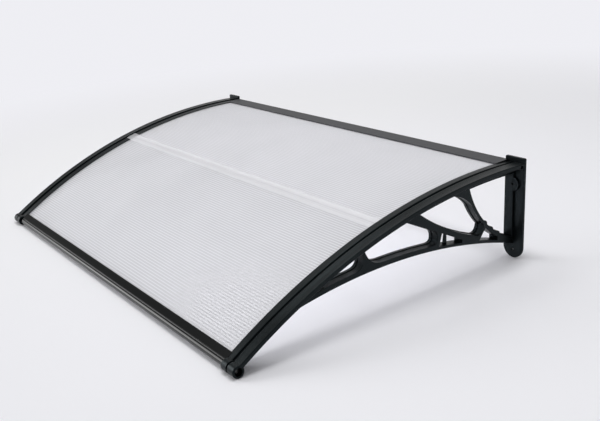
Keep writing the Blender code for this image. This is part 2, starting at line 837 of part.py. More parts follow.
def wall_bar(material):
    """The extruded bar on the wall: a roof lip and a lower lip hold the rear sheet."""
    front = -WALL_BAR_DEPTH
    slot = front + WALL_BAR_SLOT
    sheet_top = rail_z(front, -SHEET_TOP) + GAP
    sheet_low = rail_z(front, -SHEET_BOTTOM) - GAP
    wall = WALL_BAR_WALL
    slope = (WALL_BAR_BACK_TOP - WALL_BAR_FRONT_TOP) / WALL_BAR_DEPTH

    def roof(y):
        return WALL_BAR_FRONT_TOP + slope * (y - front)

    outline = [
        (0.0, WALL_BAR_FOOT),
        (0.0, WALL_BAR_BACK_TOP),
        (front, WALL_BAR_FRONT_TOP),
        (front, sheet_top),
        (front + wall, sheet_top),
        (front + wall, roof(front) - wall),
        (slot, roof(slot) - wall),
        (slot, sheet_low),
        (front, sheet_low),
        (front, sheet_low - wall),
        (-wall, sheet_low - wall),
        (-wall, WALL_BAR_FOOT),
    ]
    body = along_x("wall_bar", [(x, outline) for x in (-BAR_HALF, BAR_HALF)])
    reach = SIDE_SCREW_RADIUS + SCREW_PLAY + PORT_WALL
    floor = sheet_low
    for i, (back, fore) in enumerate(((-wall, WALL_PORT_Y + reach), (WALL_PORT_Y - reach, slot + wall))):
        chamber = [
            (back, floor),
            (back, roof(back) - wall),
            (fore, roof(fore) - wall),
            (fore, floor),
        ]
        ends = (-BAR_HALF - ROOT, BAR_HALF + ROOT)
        cut(body, along_x(f"wall bar chamber {i}", [(x, chamber) for x in ends]))
    bore = SIDE_SCREW_RADIUS + SCREW_PLAY
    cut(body, port("wall bar port", (WALL_PORT_Y, WALL_PORT_Z), bore, BAR_HALF))
    return finish(body, material)


def front_bar(material):
    """The extruded front bar: a lip and a flange hold the sheet in front of a round tube."""

    def place(forward, height):
        return beyond(FRONT_LIP_ANGLE, forward, height)

    def tube(radius, start, end, steps):
        spots = round_points((BAR_AXIS_FORWARD, -BAR_AXIS_DROP), radius, start, end, steps)
        return [place(*spot) for spot in spots]

    under = -SHEET_TOP + GAP
    low = -SHEET_BOTTOM - GAP
    valley_height = BAR_RIDGE_HEIGHT - BAR_RIDGE_TOP + BAR_AXIS_DROP
    valley = degrees(atan2(valley_height, BAR_RIDGE_AT + BAR_RIDGE_SLOPE - BAR_AXIS_FORWARD))
    flange = degrees(asin((low - BAR_FLANGE + BAR_AXIS_DROP) / BAR_TUBE_RADIUS))
    outline = (
        [
            place(0, under),
            place(0, -GAP),
            place(GAP, 0),
            place(BAR_RIDGE_AT - BAR_RIDGE_SLOPE, BAR_RIDGE_HEIGHT - BAR_RIDGE_EDGE),
            place(BAR_RIDGE_AT - BAR_RIDGE_TOP / 2, BAR_RIDGE_HEIGHT),
            place(BAR_RIDGE_AT + BAR_RIDGE_TOP / 2, BAR_RIDGE_HEIGHT),
        ]
        + tube(BAR_TUBE_RADIUS, valley, flange - 180 - 2 * flange, 30)
        + [
            place(0, low - BAR_FLANGE),
            place(0, low),
            place(BAR_SLOT, low),
            place(BAR_SLOT, under),
        ]
    )
    body = along_x("front_bar", [(x, outline) for x in (-BAR_HALF, BAR_HALF)])
    bore = BAR_SCREW_RADIUS + SCREW_PLAY
    hollow = tube(BAR_TUBE_RADIUS - BAR_TUBE_WALL, -150, 150, 24) + tube(bore + PORT_WALL, 150, -150, 16)
    ends = (-BAR_HALF - ROOT, BAR_HALF + ROOT)
    cut(body, along_x("front bar hollow", [(x, hollow) for x in ends]))
    cut(body, port("front bar port", BAR_AXIS, bore, BAR_HALF))
    return finish(body, material)


# Screws


def screw(name, side, axis, floor, sizes, tip, material):
    """A round-headed screw along X with its head on the floor of its recess."""
    shank, head, height = sizes
    seat = floor + GAP
    profile = (
        (tip, shank * 0.45),
        (tip + shank, shank),
        (seat, shank),
        (seat, head),
        (seat + height * 0.5, head),
        (seat + height, head * 0.62),
        (seat + height, head * 0.42),
        (seat + height - SOCKET_DEPTH, head * 0.42),
    )
    return finish(turned(name, side, axis, profile), material)


def screws(material):
    side_sizes = (SIDE_SCREW_RADIUS, SIDE_SCREW_HEAD, SIDE_SCREW_HEAD_HEIGHT)
    nose_sizes = (BAR_SCREW_RADIUS, BAR_SCREW_HEAD, BAR_SCREW_HEAD_HEIGHT)
    wall_axis = (WALL_PORT_Y, WALL_PORT_Z)
    for word, side in (("left", -1), ("right", 1)):
        tip = BAR_HALF - SIDE_SCREW_BITE
        floor = side_head_floor()
        screw(f"wall_bar_screw_{word}", side, wall_axis, floor, side_sizes, tip, material)
        tip = BAR_HALF - BAR_SCREW_BITE
        floor = nose_head_floor()
        screw(f"front_bar_screw_{word}", side, BAR_AXIS, floor, nose_sizes, tip, material)


for old in list(bpy.data.objects):
    bpy.data.objects.remove(old)

FRAME = bpy.data.objects.new("canopy_frame", None)
FRAME.location.z = -WALL_BAR_MIDDLE * MM
bpy.context.scene.collection.objects.link(FRAME)

black_plastic = plain_material("black_plastic", (0.022, 0.023, 0.024), 0.42)
black_aluminium = plain_material("black_aluminium", (0.03, 0.031, 0.033), 0.32, 0.85)
grey_aluminium = plain_material("grey_aluminium", (0.3, 0.3, 0.31), 0.45, 0.85)
clear_sheet = plain_material("clear_sheet", (0.86, 0.87, 0.88), 0.25, 0.0, 0.5)
strip_plastic = plain_material("strip_plastic", (0.83, 0.83, 0.85), 0.3, 0.0, 0.7)
dark_steel = plain_material("dark_steel", (0.09, 0.09, 0.09), 0.4, 0.9)

bracket("bracket_left", -1, black_plastic)
bracket("bracket_right", 1, black_plastic)
web_play = degrees((STRIP_WALL / 2 + GAP) / ARC_RADIUS)
rear_edge_angle = arc_angle(-WALL_BAR_DEPTH) - degrees(REAR_SHEET_BITE / ARC_RADIUS)
front_edge_angle = FRONT_LIP_ANGLE + degrees(FRONT_SHEET_BITE / ARC_RADIUS)
fluted_sheet("rear_sheet", rear_edge_angle, STRIP_ANGLE - web_play, clear_sheet)
fluted_sheet("front_sheet", STRIP_ANGLE + web_play, front_edge_angle, clear_sheet)
joining_strip(strip_plastic)
wall_bar(grey_aluminium)
front_bar(black_aluminium)
screws(dark_steel)
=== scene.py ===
"""Door canopy on a pale studio floor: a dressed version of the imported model, seen as in the photograph.

Lengths are in metres in the model's own frame: X along the wall, Y=0 on the wall, the front towards -Y.
"""

from math import acos, asin, atan, atan2, cos, degrees, hypot, pi, radians, sin, sqrt, tan

import bmesh
import bpy
from mathutils import Matrix, Vector

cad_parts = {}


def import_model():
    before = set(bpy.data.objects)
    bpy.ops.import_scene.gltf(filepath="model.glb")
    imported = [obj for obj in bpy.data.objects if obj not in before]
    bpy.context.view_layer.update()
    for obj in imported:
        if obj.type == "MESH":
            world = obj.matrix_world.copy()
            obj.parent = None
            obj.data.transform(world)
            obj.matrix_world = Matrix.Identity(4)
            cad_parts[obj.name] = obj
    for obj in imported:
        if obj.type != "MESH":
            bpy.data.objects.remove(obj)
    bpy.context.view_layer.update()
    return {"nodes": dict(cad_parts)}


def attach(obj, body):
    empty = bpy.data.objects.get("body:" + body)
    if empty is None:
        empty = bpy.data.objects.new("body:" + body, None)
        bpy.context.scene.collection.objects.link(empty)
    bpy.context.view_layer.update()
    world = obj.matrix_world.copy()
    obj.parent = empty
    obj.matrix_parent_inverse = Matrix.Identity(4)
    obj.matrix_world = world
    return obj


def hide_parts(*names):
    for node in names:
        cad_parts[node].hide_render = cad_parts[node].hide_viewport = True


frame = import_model()
MM = 0.001

# Camera, fitted to the canopy's corners in the photograph
IMAGE_WIDTH = 600
FOCAL_PIXELS = 844.366
SENSOR_WIDTH = 36.0
CAMERA_PLACE = (1.7363, -1.3760, 0.47995)
CAMERA_YAW = 55.213
CAMERA_PITCH = 17.717
CAMERA_ROLL = -2.892

# Floor: the canopy rests on the noses' undersides and the feet of its wall plates
FOOT_Z = -0.20725
FLOOR_SLOPE = 0.0440
FLOOR_RADIUS = 9.0
FLOOR_COLOUR = (0.88, 0.88, 0.915, 1.0)
# Painted light: the floor's colour grows lighter towards the left, to the colour on the next line, over
# the x span on the line after it
FLOOR_PAINTED_LIGHT_LEFT = (0.97, 0.97, 0.985, 1.0)
FLOOR_PAINTED_LIGHT_TURN = (-1.3, 0.3)
BACKGROUND = (0.86, 0.86, 0.90, 1.0)
FADE_START = 1.0
FADE_END = 2.6

# Lamps: name, place, what it points at, width and height, power
LAMPS = (
    ("overhead_softbox", (0.5, -0.33, 2.4), (0.3, -0.33, 0.0), 0.7, 0.7, 18.0),
    ("left_softbox", (-1.8, -0.5, 3.2), (-1.0, -0.6, 0.0), 1.2, 1.2, 14.0),
)
# Soft light of the room: its strength on the left, on the right and low down, and where it turns
FILL_LEFT = 0.84
FILL_RIGHT = 0.74
FILL_LOW = 0.2
FILL_TURN = 0.6
FILL_RISE = (0.5, 0.85)
# Brighter parts of the room: direction, cosines from the edge to the middle, added strength
ROOM = (
    ((-0.82, 0.57, 0.0), 0.72, 0.97, 0.45),
    ((-0.78, -0.53, 0.32), 0.93, 0.98, 4.5),
)
# Share of a clear plastic's opacity that its shadow leaves out
LAMP_SHARE = 0.95

# Points this close in millimetres are one; edges turned more than this, in degrees, get rounded,
# and the shading runs smoothly over those turned less than the second angle
SAME_POINT = 0.01
SHARP_EDGE = 30.0
SHADING_ANGLE = 32.0

# Canopy sizes in millimetres, in the drawing frame: Z=0 at the feet of the plates
WIDTH = 1200.0
DEPTH = 739.9
ARM_WIDTH = 49.6
GAP = 0.3
ARC_RADIUS = 1263.4
ARC_AXIS_Y = -5.6
ARC_TOP_Z = 214.0
ARC_AXIS_Z = ARC_TOP_Z - ARC_RADIUS

# Arm section, heights over the arc and distances from the plate's inner face
LIP_OVERHANG = 4.8
LIP_RISE = 1.3
GROOVE_IN = 14.2
GROOVE_OUT = 22.4
GROOVE_DEPTH = 2.5
CREST_HEIGHT = 3.0
CREST_DISH = 0.6
CROWN_WALL = 3.0
SKIRT_DROP = 6.0
SKIRT_WALL = 3.0
ARM_TAPER = 5.4
ARM_SIDE_INSET = 0.6
SLOT_DEPTH = 15.2
SUPPORT_WALL = 2.7
RAIL_WIDTH = 24.6
RAIL_DROP = 22.0
RAIL_NOSE_DROP = 17.0
RAIL_TAPER_ANGLE = 28.0
ARM_STEPS = 110
# A long edge of the arm moves sideways by less than this from step to step
ARM_STEP_SHIFT = 0.1
ARM_EDGE = 1.0
ARM_TOP_EDGE = 2.2
DISH_STEPS = (0.12, 0.22, 0.35, 0.5, 0.65, 0.8, 0.9)
SHEET_TOP = 2.0
SHEET_THICKNESS = 5.0
SHEET_BOTTOM = SHEET_TOP + SHEET_THICKNESS
WEB = 0.5
FLUTE_PITCH = 6.2
REAR_SHEET_BITE = 13.0
FRONT_SHEET_BITE = 8.6

# Wall bar and front bar
WALL_BAR_DEPTH = 37.0
WALL_BAR_FRONT_TOP = 215.6
WALL_BAR_BACK_TOP = 218.5
WALL_BAR_FOOT = 196.0
WALL_PORT_Y = -12.3
WALL_PORT_Z = 210.0
BAR_AXIS_FORWARD = 22.3
BAR_AXIS_DROP = 6.0
BAR_END_GAP = 0.4
BAR_EDGE = 0.6
BAR_TUBE_RADIUS = 7.5
BAR_TUBE_WALL = 1.6
BAR_RIDGE_AT = 18.6
BAR_RIDGE_HEIGHT = 2.2
BAR_RIDGE_SLOPE = 1.6
BAR_RIDGE_EDGE = 0.9
BAR_RIDGE_ROUND = 0.7
BAR_VALLEY_DROP = 1.0
# The tube's hollow ends at this angle, at the web that carries the screw port
BAR_HOLLOW_END = 150.0
BAR_SLOT = 10.0
BAR_FLANGE = 2.0
WALL_BAR_WALL = 1.8
WALL_BAR_SLOT = 14.5
PORT_WALL = 1.5

# Joining strip: across the strip, its cover rises over the sheet in two soft ridges
STRIP_ANGLE = 16.9
STRIP_WIDTH = 30.0
STRIP_WALL = 1.4
STRIP_END_GAP = 0.4
STRIP_TONGUE = 16.5
STRIP_RAMP = 22.0
STRIP_END_EDGE = 0.175
STRIP_COVER = (
    (-15.0, 0.3),
    (-13.8, 0.9),
    (-12.2, 1.3),
    (-10.8, 1.4),
    (-9.0, 1.3),
    (-6.5, 1.0),
    (-4.0, 0.85),
    (-1.0, 0.95),
    (2.0, 1.25),
    (4.5, 1.4),
    (7.0, 1.3),
    (10.0, 1.0),
    (13.0, 0.6),
    (15.0, 0.2),
)

# Nose, plate and lattice
NOSE_RADIUS = 12.3
NOSE_STEP = 1.8
NOSE_EDGE = 1.8
COLLAR_LENGTH = 17.6
NOSE_SLIT = 4.2
NOSE_SLIT_DEPTH = 3.2
NOSE_SLIT_EDGE = 0.5
RECESS_RADIUS = 8.0
RECESS_DEPTH = 8.0
RECESS_MOUTH = 0.7
PLATE_TOP = 227.6
PLATE_THICKNESS = 5.7
PLATE_BEVEL = 2.2
PLATE_INSIDE = 3.0
PLATE_CORNER = 3.0
RIB_FRONT = 10.6
RIB_WIDTH = 24.2
RIB_BOTTOM = 40.0
RIB_EDGE = 1.2
WALL_BOSS_RADIUS = 15.5
WALL_HOLE_X = 22.6
WALL_HOLE_LOW = 18.7
WALL_HOLE_HIGH = 169.0
WALL_HOLE_RADIUS = 2.8
COUNTERSINK = 3.3
BAR_SCREW_RADIUS = 2.1
SIDE_SCREW_RADIUS = 1.9
SIDE_SCREW_HEAD = 3.8
SIDE_SCREW_SUNK = 7.5
SIDE_BOSS_WALL = 2.1
SCREW_PLAY = 0.3
SIDE_SCREW_HEAD_HEIGHT = 2.4
SIDE_SCREW_BITE = 14.0
SCREW_TIP = 0.45
BAR_SCREW_HEAD = 4.6
BAR_SCREW_HEAD_HEIGHT = 3.0
BAR_SCREW_BITE = 14.0
CROSS_WIDTH = 1.3
CROSS_DEPTH = 1.6
LATTICE_WIDTH = 24.1
LATTICE_INSET = 0.5
LATTICE_EDGE = 1.5
RIM_WIDTH = 7.2
RIM_STEP = 1.5
ROOT = 6.0
CHORD_WALL_Z = 31.0
CHORD_TIP_Y = -590.0
CHORD_RADIUS = 1150.0
CHORD_THICK_AT_WALL = 7.0
CHORD_THICKENING = 0.0205
CHORD_THICK = 10.5
STRUT_TOP_Y = -144.2
STRUT_FOOT_Z = 47.7
STRUT_RADIUS = 205.0
STRUT_THICK = 7.0
STRUT_THICK_AT_FOOT = 8.5
BRACE_TOP_Y = -287.0
BRACE_FOOT_Y = -121.0
BRACE_FOOT_Z = 77.9
BRACE_RADIUS = 576.0
BRACE_ROOT_Y = -323.5
BRACE_TAIL_Y = -168.0
BRACE_TAIL_Z = 82.3
GUSSET_FRONT_Y = -187.0
GUSSET_CORNER_Y = -156.0
GUSSET_DEPTH = 10.9
GUSSET_FOOT_Y = -135.3
MIDDLE_BACK_Y = -99.4
MIDDLE_CORNER_Y = -103.0
LONG_FRONT_Y = -424.0
LONG_BACK_Y = -234.5
LONG_CORNER = 19.5
LONG_FRONT_CORNER = 12.0
LONG_FRONT_BEND = 48.0
SLIM_FRONT_Y = -229.5
SLIM_LEAN = 8.0
SLIM_DROP = 4.4
SLIM_END = 2.4
FOOT_FRONT_Y = -111.5
FOOT_TOP_Y = -93.4
FOOT_DROP = 2.0
FOOT_END = 6.4
TIP_WEB = 6.0
TIP_CORNER = 24.0
TIP_LENGTH = 146.0
BEAD_RADIUS = 8.0
BEAD_HEIGHT = 3.8
BEAD_BITE = 1.8
BEAD_HIGH_Y = -93.0
BEAD_PITCH = 25.4
BEAD_COUNT = 3
BEAD_SETBACK = 0.8
BEAD_ROUNDING = 2.0
POST_Y = -202.0
POST_THICK = 6.0
POST_LEAN = 3.5
POST_WIDTH = 4.5
POST_EDGE = 0.6

# Lattice curves are drawn with this many times the steps that a call asks for
FINE = 3
# Halvings of the span in which two edges meet, enough for any length
HALVINGS = 40

# Places worked out from the sizes above
ARM_INNER = WIDTH / 2 - ARM_WIDTH
SLOT_WALL = SLOT_DEPTH - LIP_OVERHANG
NOSE_OUTER = WIDTH / 2 - ARM_SIDE_INSET - ARM_TAPER - NOSE_STEP
TIP_BACK_Y = LONG_FRONT_Y - TIP_WEB
LATTICE_INNER = ARM_INNER + LATTICE_INSET
LATTICE_OUTER = LATTICE_INNER + LATTICE_WIDTH
BAR_HALF = ARM_INNER - BAR_END_GAP
SIDE_SCREW_FLOOR = WIDTH / 2 - SIDE_SCREW_SUNK - GAP
WALL_PORT = (WALL_PORT_Y, WALL_PORT_Z)
SLOT_TOP = GAP - SHEET_TOP
SLOT_LOW = -SHEET_BOTTOM - GAP


# Places on the roof arc


def on_arc(angle, height=0.0):
    """(y, z) at an angle in degrees forward of the arc's top, this far outside the circle."""
    reach = ARC_RADIUS + height
    return ARC_AXIS_Y - reach * sin(radians(angle)), ARC_AXIS_Z + reach * cos(radians(angle))


def arc_angle(y):
    """Angle in degrees of the place on the roof arc with this y."""
    return degrees(asin((ARC_AXIS_Y - y) / ARC_RADIUS))


def rail_z(y, height):
    """The z at a y on the circle that lies this far outside the roof arc."""
    return ARC_AXIS_Z + sqrt((ARC_RADIUS + height) ** 2 - (y - ARC_AXIS_Y) ** 2)


def over_arc(place):
    """Height of a place outside the roof arc."""
    return hypot(ARC_AXIS_Y - place.y, place.z - ARC_AXIS_Z) - ARC_RADIUS


def beyond(angle, forward, height):
    """(y, z) this far straight on from the arc at an angle."""
    y, z = on_arc(angle, height)
    return y - forward * cos(radians(angle)), z - forward * sin(radians(angle))


def lip_angle():
    """Angle of the front bar's lip that puts the noses' front at the full depth."""
    down = ARC_RADIUS - BAR_AXIS_DROP
    reach = DEPTH - NOSE_RADIUS + ARC_AXIS_Y
    return degrees(asin(reach / hypot(down, BAR_AXIS_FORWARD)) - atan2(BAR_AXIS_FORWARD, down))


FRONT_LIP_ANGLE = lip_angle()
BAR_AXIS = beyond(FRONT_LIP_ANGLE, BAR_AXIS_FORWARD, -BAR_AXIS_DROP)
NOSE_ANGLE = degrees(atan2(ARC_AXIS_Y - BAR_AXIS[0], BAR_AXIS[1] - ARC_AXIS_Z))
ARM_REAR_ANGLE = arc_angle(-PLATE_THICKNESS / 2)


# Outline helpers


def round_points(centre, radius, start, end, steps):
    """Points of a circle from one angle to the other, in degrees, both ends included."""
    angles = [radians(start + (end - start) * i / steps) for i in range(steps + 1)]
    return [(centre[0] + radius * cos(a), centre[1] + radius * sin(a)) for a in angles]


def ring(centre, radius, steps):
    """Points of a full circle."""
    return round_points(centre, radius, 0, 360, steps)[:-1]


def bend(start, corner, end, steps=12):
    """A curved corner: a quadratic curve pulled towards the corner point."""
    points = []
    for i in range(steps + 1):
        t = i / steps
        pulls = (((1 - t) ** 2, start), (2 * t * (1 - t), corner), (t * t, end))
        points.append(tuple(sum(weight * place[k] for weight, place in pulls) for k in (0, 1)))
    return points


def inset(outline, distance):
    """The outline of an opening moved inwards by a distance, with long corners held back."""
    area = sum(a[0] * b[1] - b[0] * a[1] for a, b in zip(outline, outline[1:] + outline[:1]))
    turn = 1 if area > 0 else -1
    moved = []
    for before, here, after in zip(outline[-1:] + outline[:-1], outline, outline[1:] + outline[:1]):
        sides = []
        for a, b in ((before, here), (here, after)):
            length = hypot(b[0] - a[0], b[1] - a[1])
            sides.append(Vector(((a[1] - b[1]) / length, (b[0] - a[0]) / length)) * turn)
        middle = (sides[0] + sides[1]).normalized()
        reach = distance / max(middle.dot(sides[0]), 0.5)
        moved.append((here[0] + middle.x * reach, here[1] + middle.y * reach))
    return moved


# Curves and openings of the lattice


def centre_of(start, end, radius, turn):
    """Centre of the circle through two (y, z) places; turn 1 puts it on the left of start to end."""
    across = (end[0] - start[0], end[1] - start[1])
    half = hypot(*across) / 2
    reach = turn * sqrt(radius**2 - half**2) / (2 * half)
    return (
        (start[0] + end[0]) / 2 - across[1] * reach,
        (start[1] + end[1]) / 2 + across[0] * reach,
    )


def on_rail(y, inside=0.0):
    """A point on the rail's underside, or this far inside the rail."""
    return y, rail_z(y, inside - RAIL_DROP)


CHORD_CENTRE = centre_of((0.0, CHORD_WALL_Z), on_rail(CHORD_TIP_Y, 0.5 * ROOT), CHORD_RADIUS, 1)
STRUT_CENTRE = centre_of(on_rail(STRUT_TOP_Y, ROOT), (-RIB_FRONT / 2, STRUT_FOOT_Z), STRUT_RADIUS, 1)
BRACE_CENTRE = centre_of(on_rail(BRACE_TOP_Y, ROOT), (BRACE_FOOT_Y, BRACE_FOOT_Z), BRACE_RADIUS, 1)
BRACE_ROOT_Z = on_rail(BRACE_ROOT_Y, ROOT)[1]


def chord_low(y):
    """Underside of the lower chord; the next functions give the lattice's other edges."""
    return CHORD_CENTRE[1] + sqrt(CHORD_RADIUS**2 - (y - CHORD_CENTRE[0]) ** 2)


def chord_top(y):
    return chord_low(y) + min(CHORD_THICK, CHORD_THICK_AT_WALL - CHORD_THICKENING * y)


def brace_top(y):
    return BRACE_CENTRE[1] - sqrt(BRACE_RADIUS**2 - (y - BRACE_CENTRE[0]) ** 2)


def brace_low(y):
    slope = (BRACE_TAIL_Z - BRACE_ROOT_Z) / (BRACE_TAIL_Y - BRACE_ROOT_Y)
    return BRACE_ROOT_Z + slope * (y - BRACE_ROOT_Y)


def strut_low(y, thick=0.0):
    """The strut's wall side, or its front side when a thickness is given."""
    return STRUT_CENTRE[1] - sqrt((STRUT_RADIUS + thick) ** 2 - (y - STRUT_CENTRE[0]) ** 2)


def strut_front(y):
    return strut_low(y, STRUT_THICK)


def strut_foot(y):
    return strut_low(y, STRUT_THICK_AT_FOOT)


def curve(function, start, end, steps):
    """Points of one edge of the lattice between two y places."""
    steps *= FINE
    ys = [start + (end - start) * i / steps for i in range(steps + 1)]
    return [(y, function(y)) for y in ys]


def closing(upper, lower, height, start, end):
    """The y between start and end where two edges have come this close to each other."""
    for _ in range(HALVINGS):
        middle = (start + end) / 2
        if upper(middle) - lower(middle) > height:
            start = middle
        else:
            end = middle
    return start


def wall_opening():
    """Between the wall plate, the rail and the curved strut."""
    rib = -RIB_FRONT / 2
    return [on_rail(rib, ROOT)] + curve(strut_low, STRUT_TOP_Y, rib, 18)


def middle_opening():
    """Between the rail, the strut and the brace, with a gusset under the rail."""
    strut = curve(strut_front, GUSSET_FOOT_Y, MIDDLE_BACK_Y, 6)
    foot = (BRACE_FOOT_Y, brace_top(BRACE_FOOT_Y))
    return (
        [on_rail(GUSSET_FRONT_Y - ROOT / 2, ROOT)]
        + bend(on_rail(GUSSET_FRONT_Y), on_rail(GUSSET_CORNER_Y, -GUSSET_DEPTH), strut[0])
        + strut[1:]
        + bend(strut[-1], (MIDDLE_CORNER_Y, brace_top(MIDDLE_CORNER_Y) + RIM_STEP), foot)[1:]
        + curve(brace_top, BRACE_FOOT_Y - 4 * ROOT, BRACE_TOP_Y, 6)
    )


def long_opening():
    """Between the rail, the brace and the lower chord, with a round end at the upright."""
    back = LONG_BACK_Y
    middle = (brace_low(back) + chord_top(back)) / 2
    high_start = back - LONG_CORNER / 2
    low_end = back - LONG_CORNER
    front_bend = LONG_FRONT_Y + LONG_FRONT_BEND
    front_corner = LONG_FRONT_Y + LONG_FRONT_CORNER
    return (
        [on_rail(LONG_FRONT_Y, ROOT), (BRACE_ROOT_Y, BRACE_ROOT_Z)]
        + bend((high_start, brace_low(high_start)), (back, brace_low(back)), (back, middle + GAP))
        + bend((back, middle - GAP), (back, chord_top(back)), (low_end, chord_top(low_end)))
        + curve(chord_top, low_end - 5 * ROOT, front_bend + 5 * ROOT, 2)
        + bend(
            (front_bend, chord_top(front_bend)),
            (front_corner, chord_top(front_corner)),
            on_rail(LONG_FRONT_Y),
        )
    )


def slim_floor(y):
    """The slim and the foot opening dip a little into the chord."""
    return chord_top(y) - SLIM_DROP


def foot_floor(y):
    return chord_top(y) - FOOT_DROP


def slim_opening():
    """The slim triangle behind the upright, which the thin post crosses."""
    end = closing(brace_low, chord_top, SLIM_END, POST_Y, 0.0)
    front = SLIM_FRONT_Y + SLIM_LEAN
    return curve(slim_floor, SLIM_FRONT_Y, end, 3) + curve(brace_low, end, front, 1)


def foot_opening():
    """The small triangle between the strut and the lower chord."""
    end = closing(strut_foot, chord_top, FOOT_END, FOOT_TOP_Y, 0.0)
    return curve(foot_floor, FOOT_FRONT_Y, end, 3) + curve(strut_foot, end, FOOT_TOP_Y, 5)


def tip_opening():
    """The last opening, which runs out to a sharp tip where the chord meets the rail."""
    start = TIP_BACK_Y - TIP_CORNER
    back = (on_rail(TIP_BACK_Y)[1] + chord_top(TIP_BACK_Y)) / 2
    corner = (TIP_BACK_Y, chord_top(TIP_BACK_Y))
    return (
        [on_rail(TIP_BACK_Y, ROOT)]
        + bend((TIP_BACK_Y + GAP, back), corner, (start, chord_top(start)))
        + curve(chord_top, start - 5 * ROOT, TIP_BACK_Y - TIP_LENGTH, 3)
    )


# Sheets: the angles of each one's rear and front edges, and its webs


def webs(rear, front):
    """Angle of a sheet's first web and from one web to the next, in radians on the roof arc."""
    reach = ARC_RADIUS - SHEET_TOP
    half_web = WEB / 2 / reach
    length = radians(front - rear)
    cells = round(length * reach / FLUTE_PITCH)
    return radians(rear) + half_web, (length - 2 * half_web) / cells


def sheet_ends():
    """Angles in degrees of the rear and front edges of each sheet, from slot to slot."""
    play = degrees((STRIP_WALL / 2 + GAP) / ARC_RADIUS)
    rear_edge = arc_angle(-WALL_BAR_DEPTH) - degrees(REAR_SHEET_BITE / ARC_RADIUS)
    front_edge = FRONT_LIP_ANGLE + degrees(FRONT_SHEET_BITE / ARC_RADIUS)
    return {
        "rear_sheet": (rear_edge, STRIP_ANGLE - play),
        "front_sheet": (STRIP_ANGLE + play, front_edge),
    }


# Shader maths


class Value:
    """A shader socket that sums can be written with; each operator adds a Math node."""

    def __init__(self, nodes, socket):
        self.nodes = nodes
        self.socket = socket

    def __add__(self, other):
        return self.nodes.maths("ADD", self, other)

    __radd__ = __add__

    def __sub__(self, other):
        return self.nodes.maths("SUBTRACT", self, other)

    def __rsub__(self, other):
        return self.nodes.maths("SUBTRACT", other, self)

    def __mul__(self, other):
        return self.nodes.maths("MULTIPLY", self, other)

    __rmul__ = __mul__

    def __truediv__(self, other):
        return self.nodes.maths("DIVIDE", self, other)

    def __rtruediv__(self, other):
        return self.nodes.maths("DIVIDE", other, self)


class Nodes:
    """The nodes of a material or of the world under construction."""

    def __init__(self, owner):
        owner.use_nodes = True
        self.tree = owner.node_tree

    def feed(self, socket, value):
        if isinstance(value, Value):
            self.tree.links.new(value.socket, socket)
        else:
            socket.default_value = value

    def node(self, kind, settings=None, inputs=None, output=0):
        """A node of a type with its settings, then the values or links of its sockets."""
        made = self.tree.nodes.new(f"ShaderNode{kind}")
        for name, value in (settings or {}).items():
            setattr(made, name, value)
        for name, value in (inputs or {}).items():
            self.feed(made.inputs[name], value)
        return Value(self, made.outputs[output])

    def maths(self, operation, first, second):
        return self.node("Math", {"operation": operation}, {0: first, 1: second})

    def part(self, vector, axis):
        return self.node("SeparateXYZ", None, {"Vector": vector}, axis)

    def ramp(self, value, low, high, start=0.0, end=1.0):
        """A number that goes from one value to another while the input goes from start to end."""
        sockets = {"Value": value, "From Min": start, "From Max": end, "To Min": low, "To Max": high}
        return self.node("MapRange", {"interpolation_type": "SMOOTHSTEP"}, sockets)

    def mix(self, factor, first, second):
        """A shader between two shaders."""
        return self.node("MixShader", None, {0: factor, 1: first, 2: second})


class Finish(Nodes):
    """A material under construction, with its Principled shader."""

    def __init__(self, name, **constants):
        self.material = bpy.data.materials.new(name)
        super().__init__(self.material)
        self.shader = self.tree.nodes["Principled BSDF"]
        self.body = Value(self, self.shader.outputs[0])
        self.set(**constants)

    def set(self, **sockets):
        """Sets or links sockets of the Principled shader; base_color is Base Color and so on."""
        for name, value in sockets.items():
            words = [word if word == "IOR" else word.capitalize() for word in name.split("_")]
            self.feed(self.shader.inputs[" ".join(words)], value)

    def closed_with(self, surface):
        """The material with a mixed shader as its surface."""
        self.feed(self.tree.nodes["Material Output"].inputs["Surface"], surface)
        return self.material

    def where(self):
        return self.node("TexCoord", output="Object")

    def stretched(self, scale):
        """Object coordinates multiplied along each axis, which turns spots into streaks."""
        return self.node("Mapping", None, {"Vector": self.where(), "Scale": scale})

    def noise(self, scale, detail=3.0, roughness=0.5, at=None):
        inputs = {"Vector": at or self.where(), "Scale": scale, "Detail": detail, "Roughness": roughness}
        return self.node("TexNoise", None, inputs)

    def blend(self, factor, first, second):
        """A colour between two colours."""
        sockets = {"Factor": factor, "A": first, "B": second}
        return self.node("Mix", {"data_type": "RGBA"}, sockets, output="Result")

    def bump(self, height, distance, strength):
        return self.node("Bump", None, {"Height": height, "Distance": distance, "Strength": strength})


def grey(tone, tint=(1.0, 1.0, 1.0)):
    """A grey colour, or one tinted with three factors."""
    return (tone * tint[0], tone * tint[1], tone * tint[2], 1.0)


# Finishes

COOL = (0.85, 1.1, 1.2)
BLUISH = (0.98, 0.99, 1.06)
CLEAR = (1.0, 1.0, 1.02)
# Most of a noise lies between these
NOISE_SPAN = (0.3, 0.7)
# Clear plastics: lightness, the same plastic painted lighter on the rear sheet and darker on the front as
# painted light and shade, and how far it wanders, opacity from clear to worn, share of spread light
SHEET_PAINTED_LIGHT_TONES = {"rear_sheet": 0.95, "front_sheet": 0.865}
TONE_PLAY = 0.025
SHEET_OPACITY = (0.33, 0.37)
STRIP_OPACITY = (0.34, 0.40)
SCATTER = 0.4
# Added opacity where a sheet is seen along its surface, and how far it then faces away: the sheet grows
# less clear there as real plastic does, and its white body showing there is a painted sheen in place of
# the reflection
PAINTED_SHEEN_OPACITY = 0.08
PAINTED_SHEEN_TURN = (0.45, 0.72)
# A web's line: colour, added opacity, and shares of the pitch between which it fades
WEB_GREY = (0.48, 0.48, 0.50, 1.0)
WEB_OPACITY = 0.35
WEB_FADE = (0.06, 0.18)


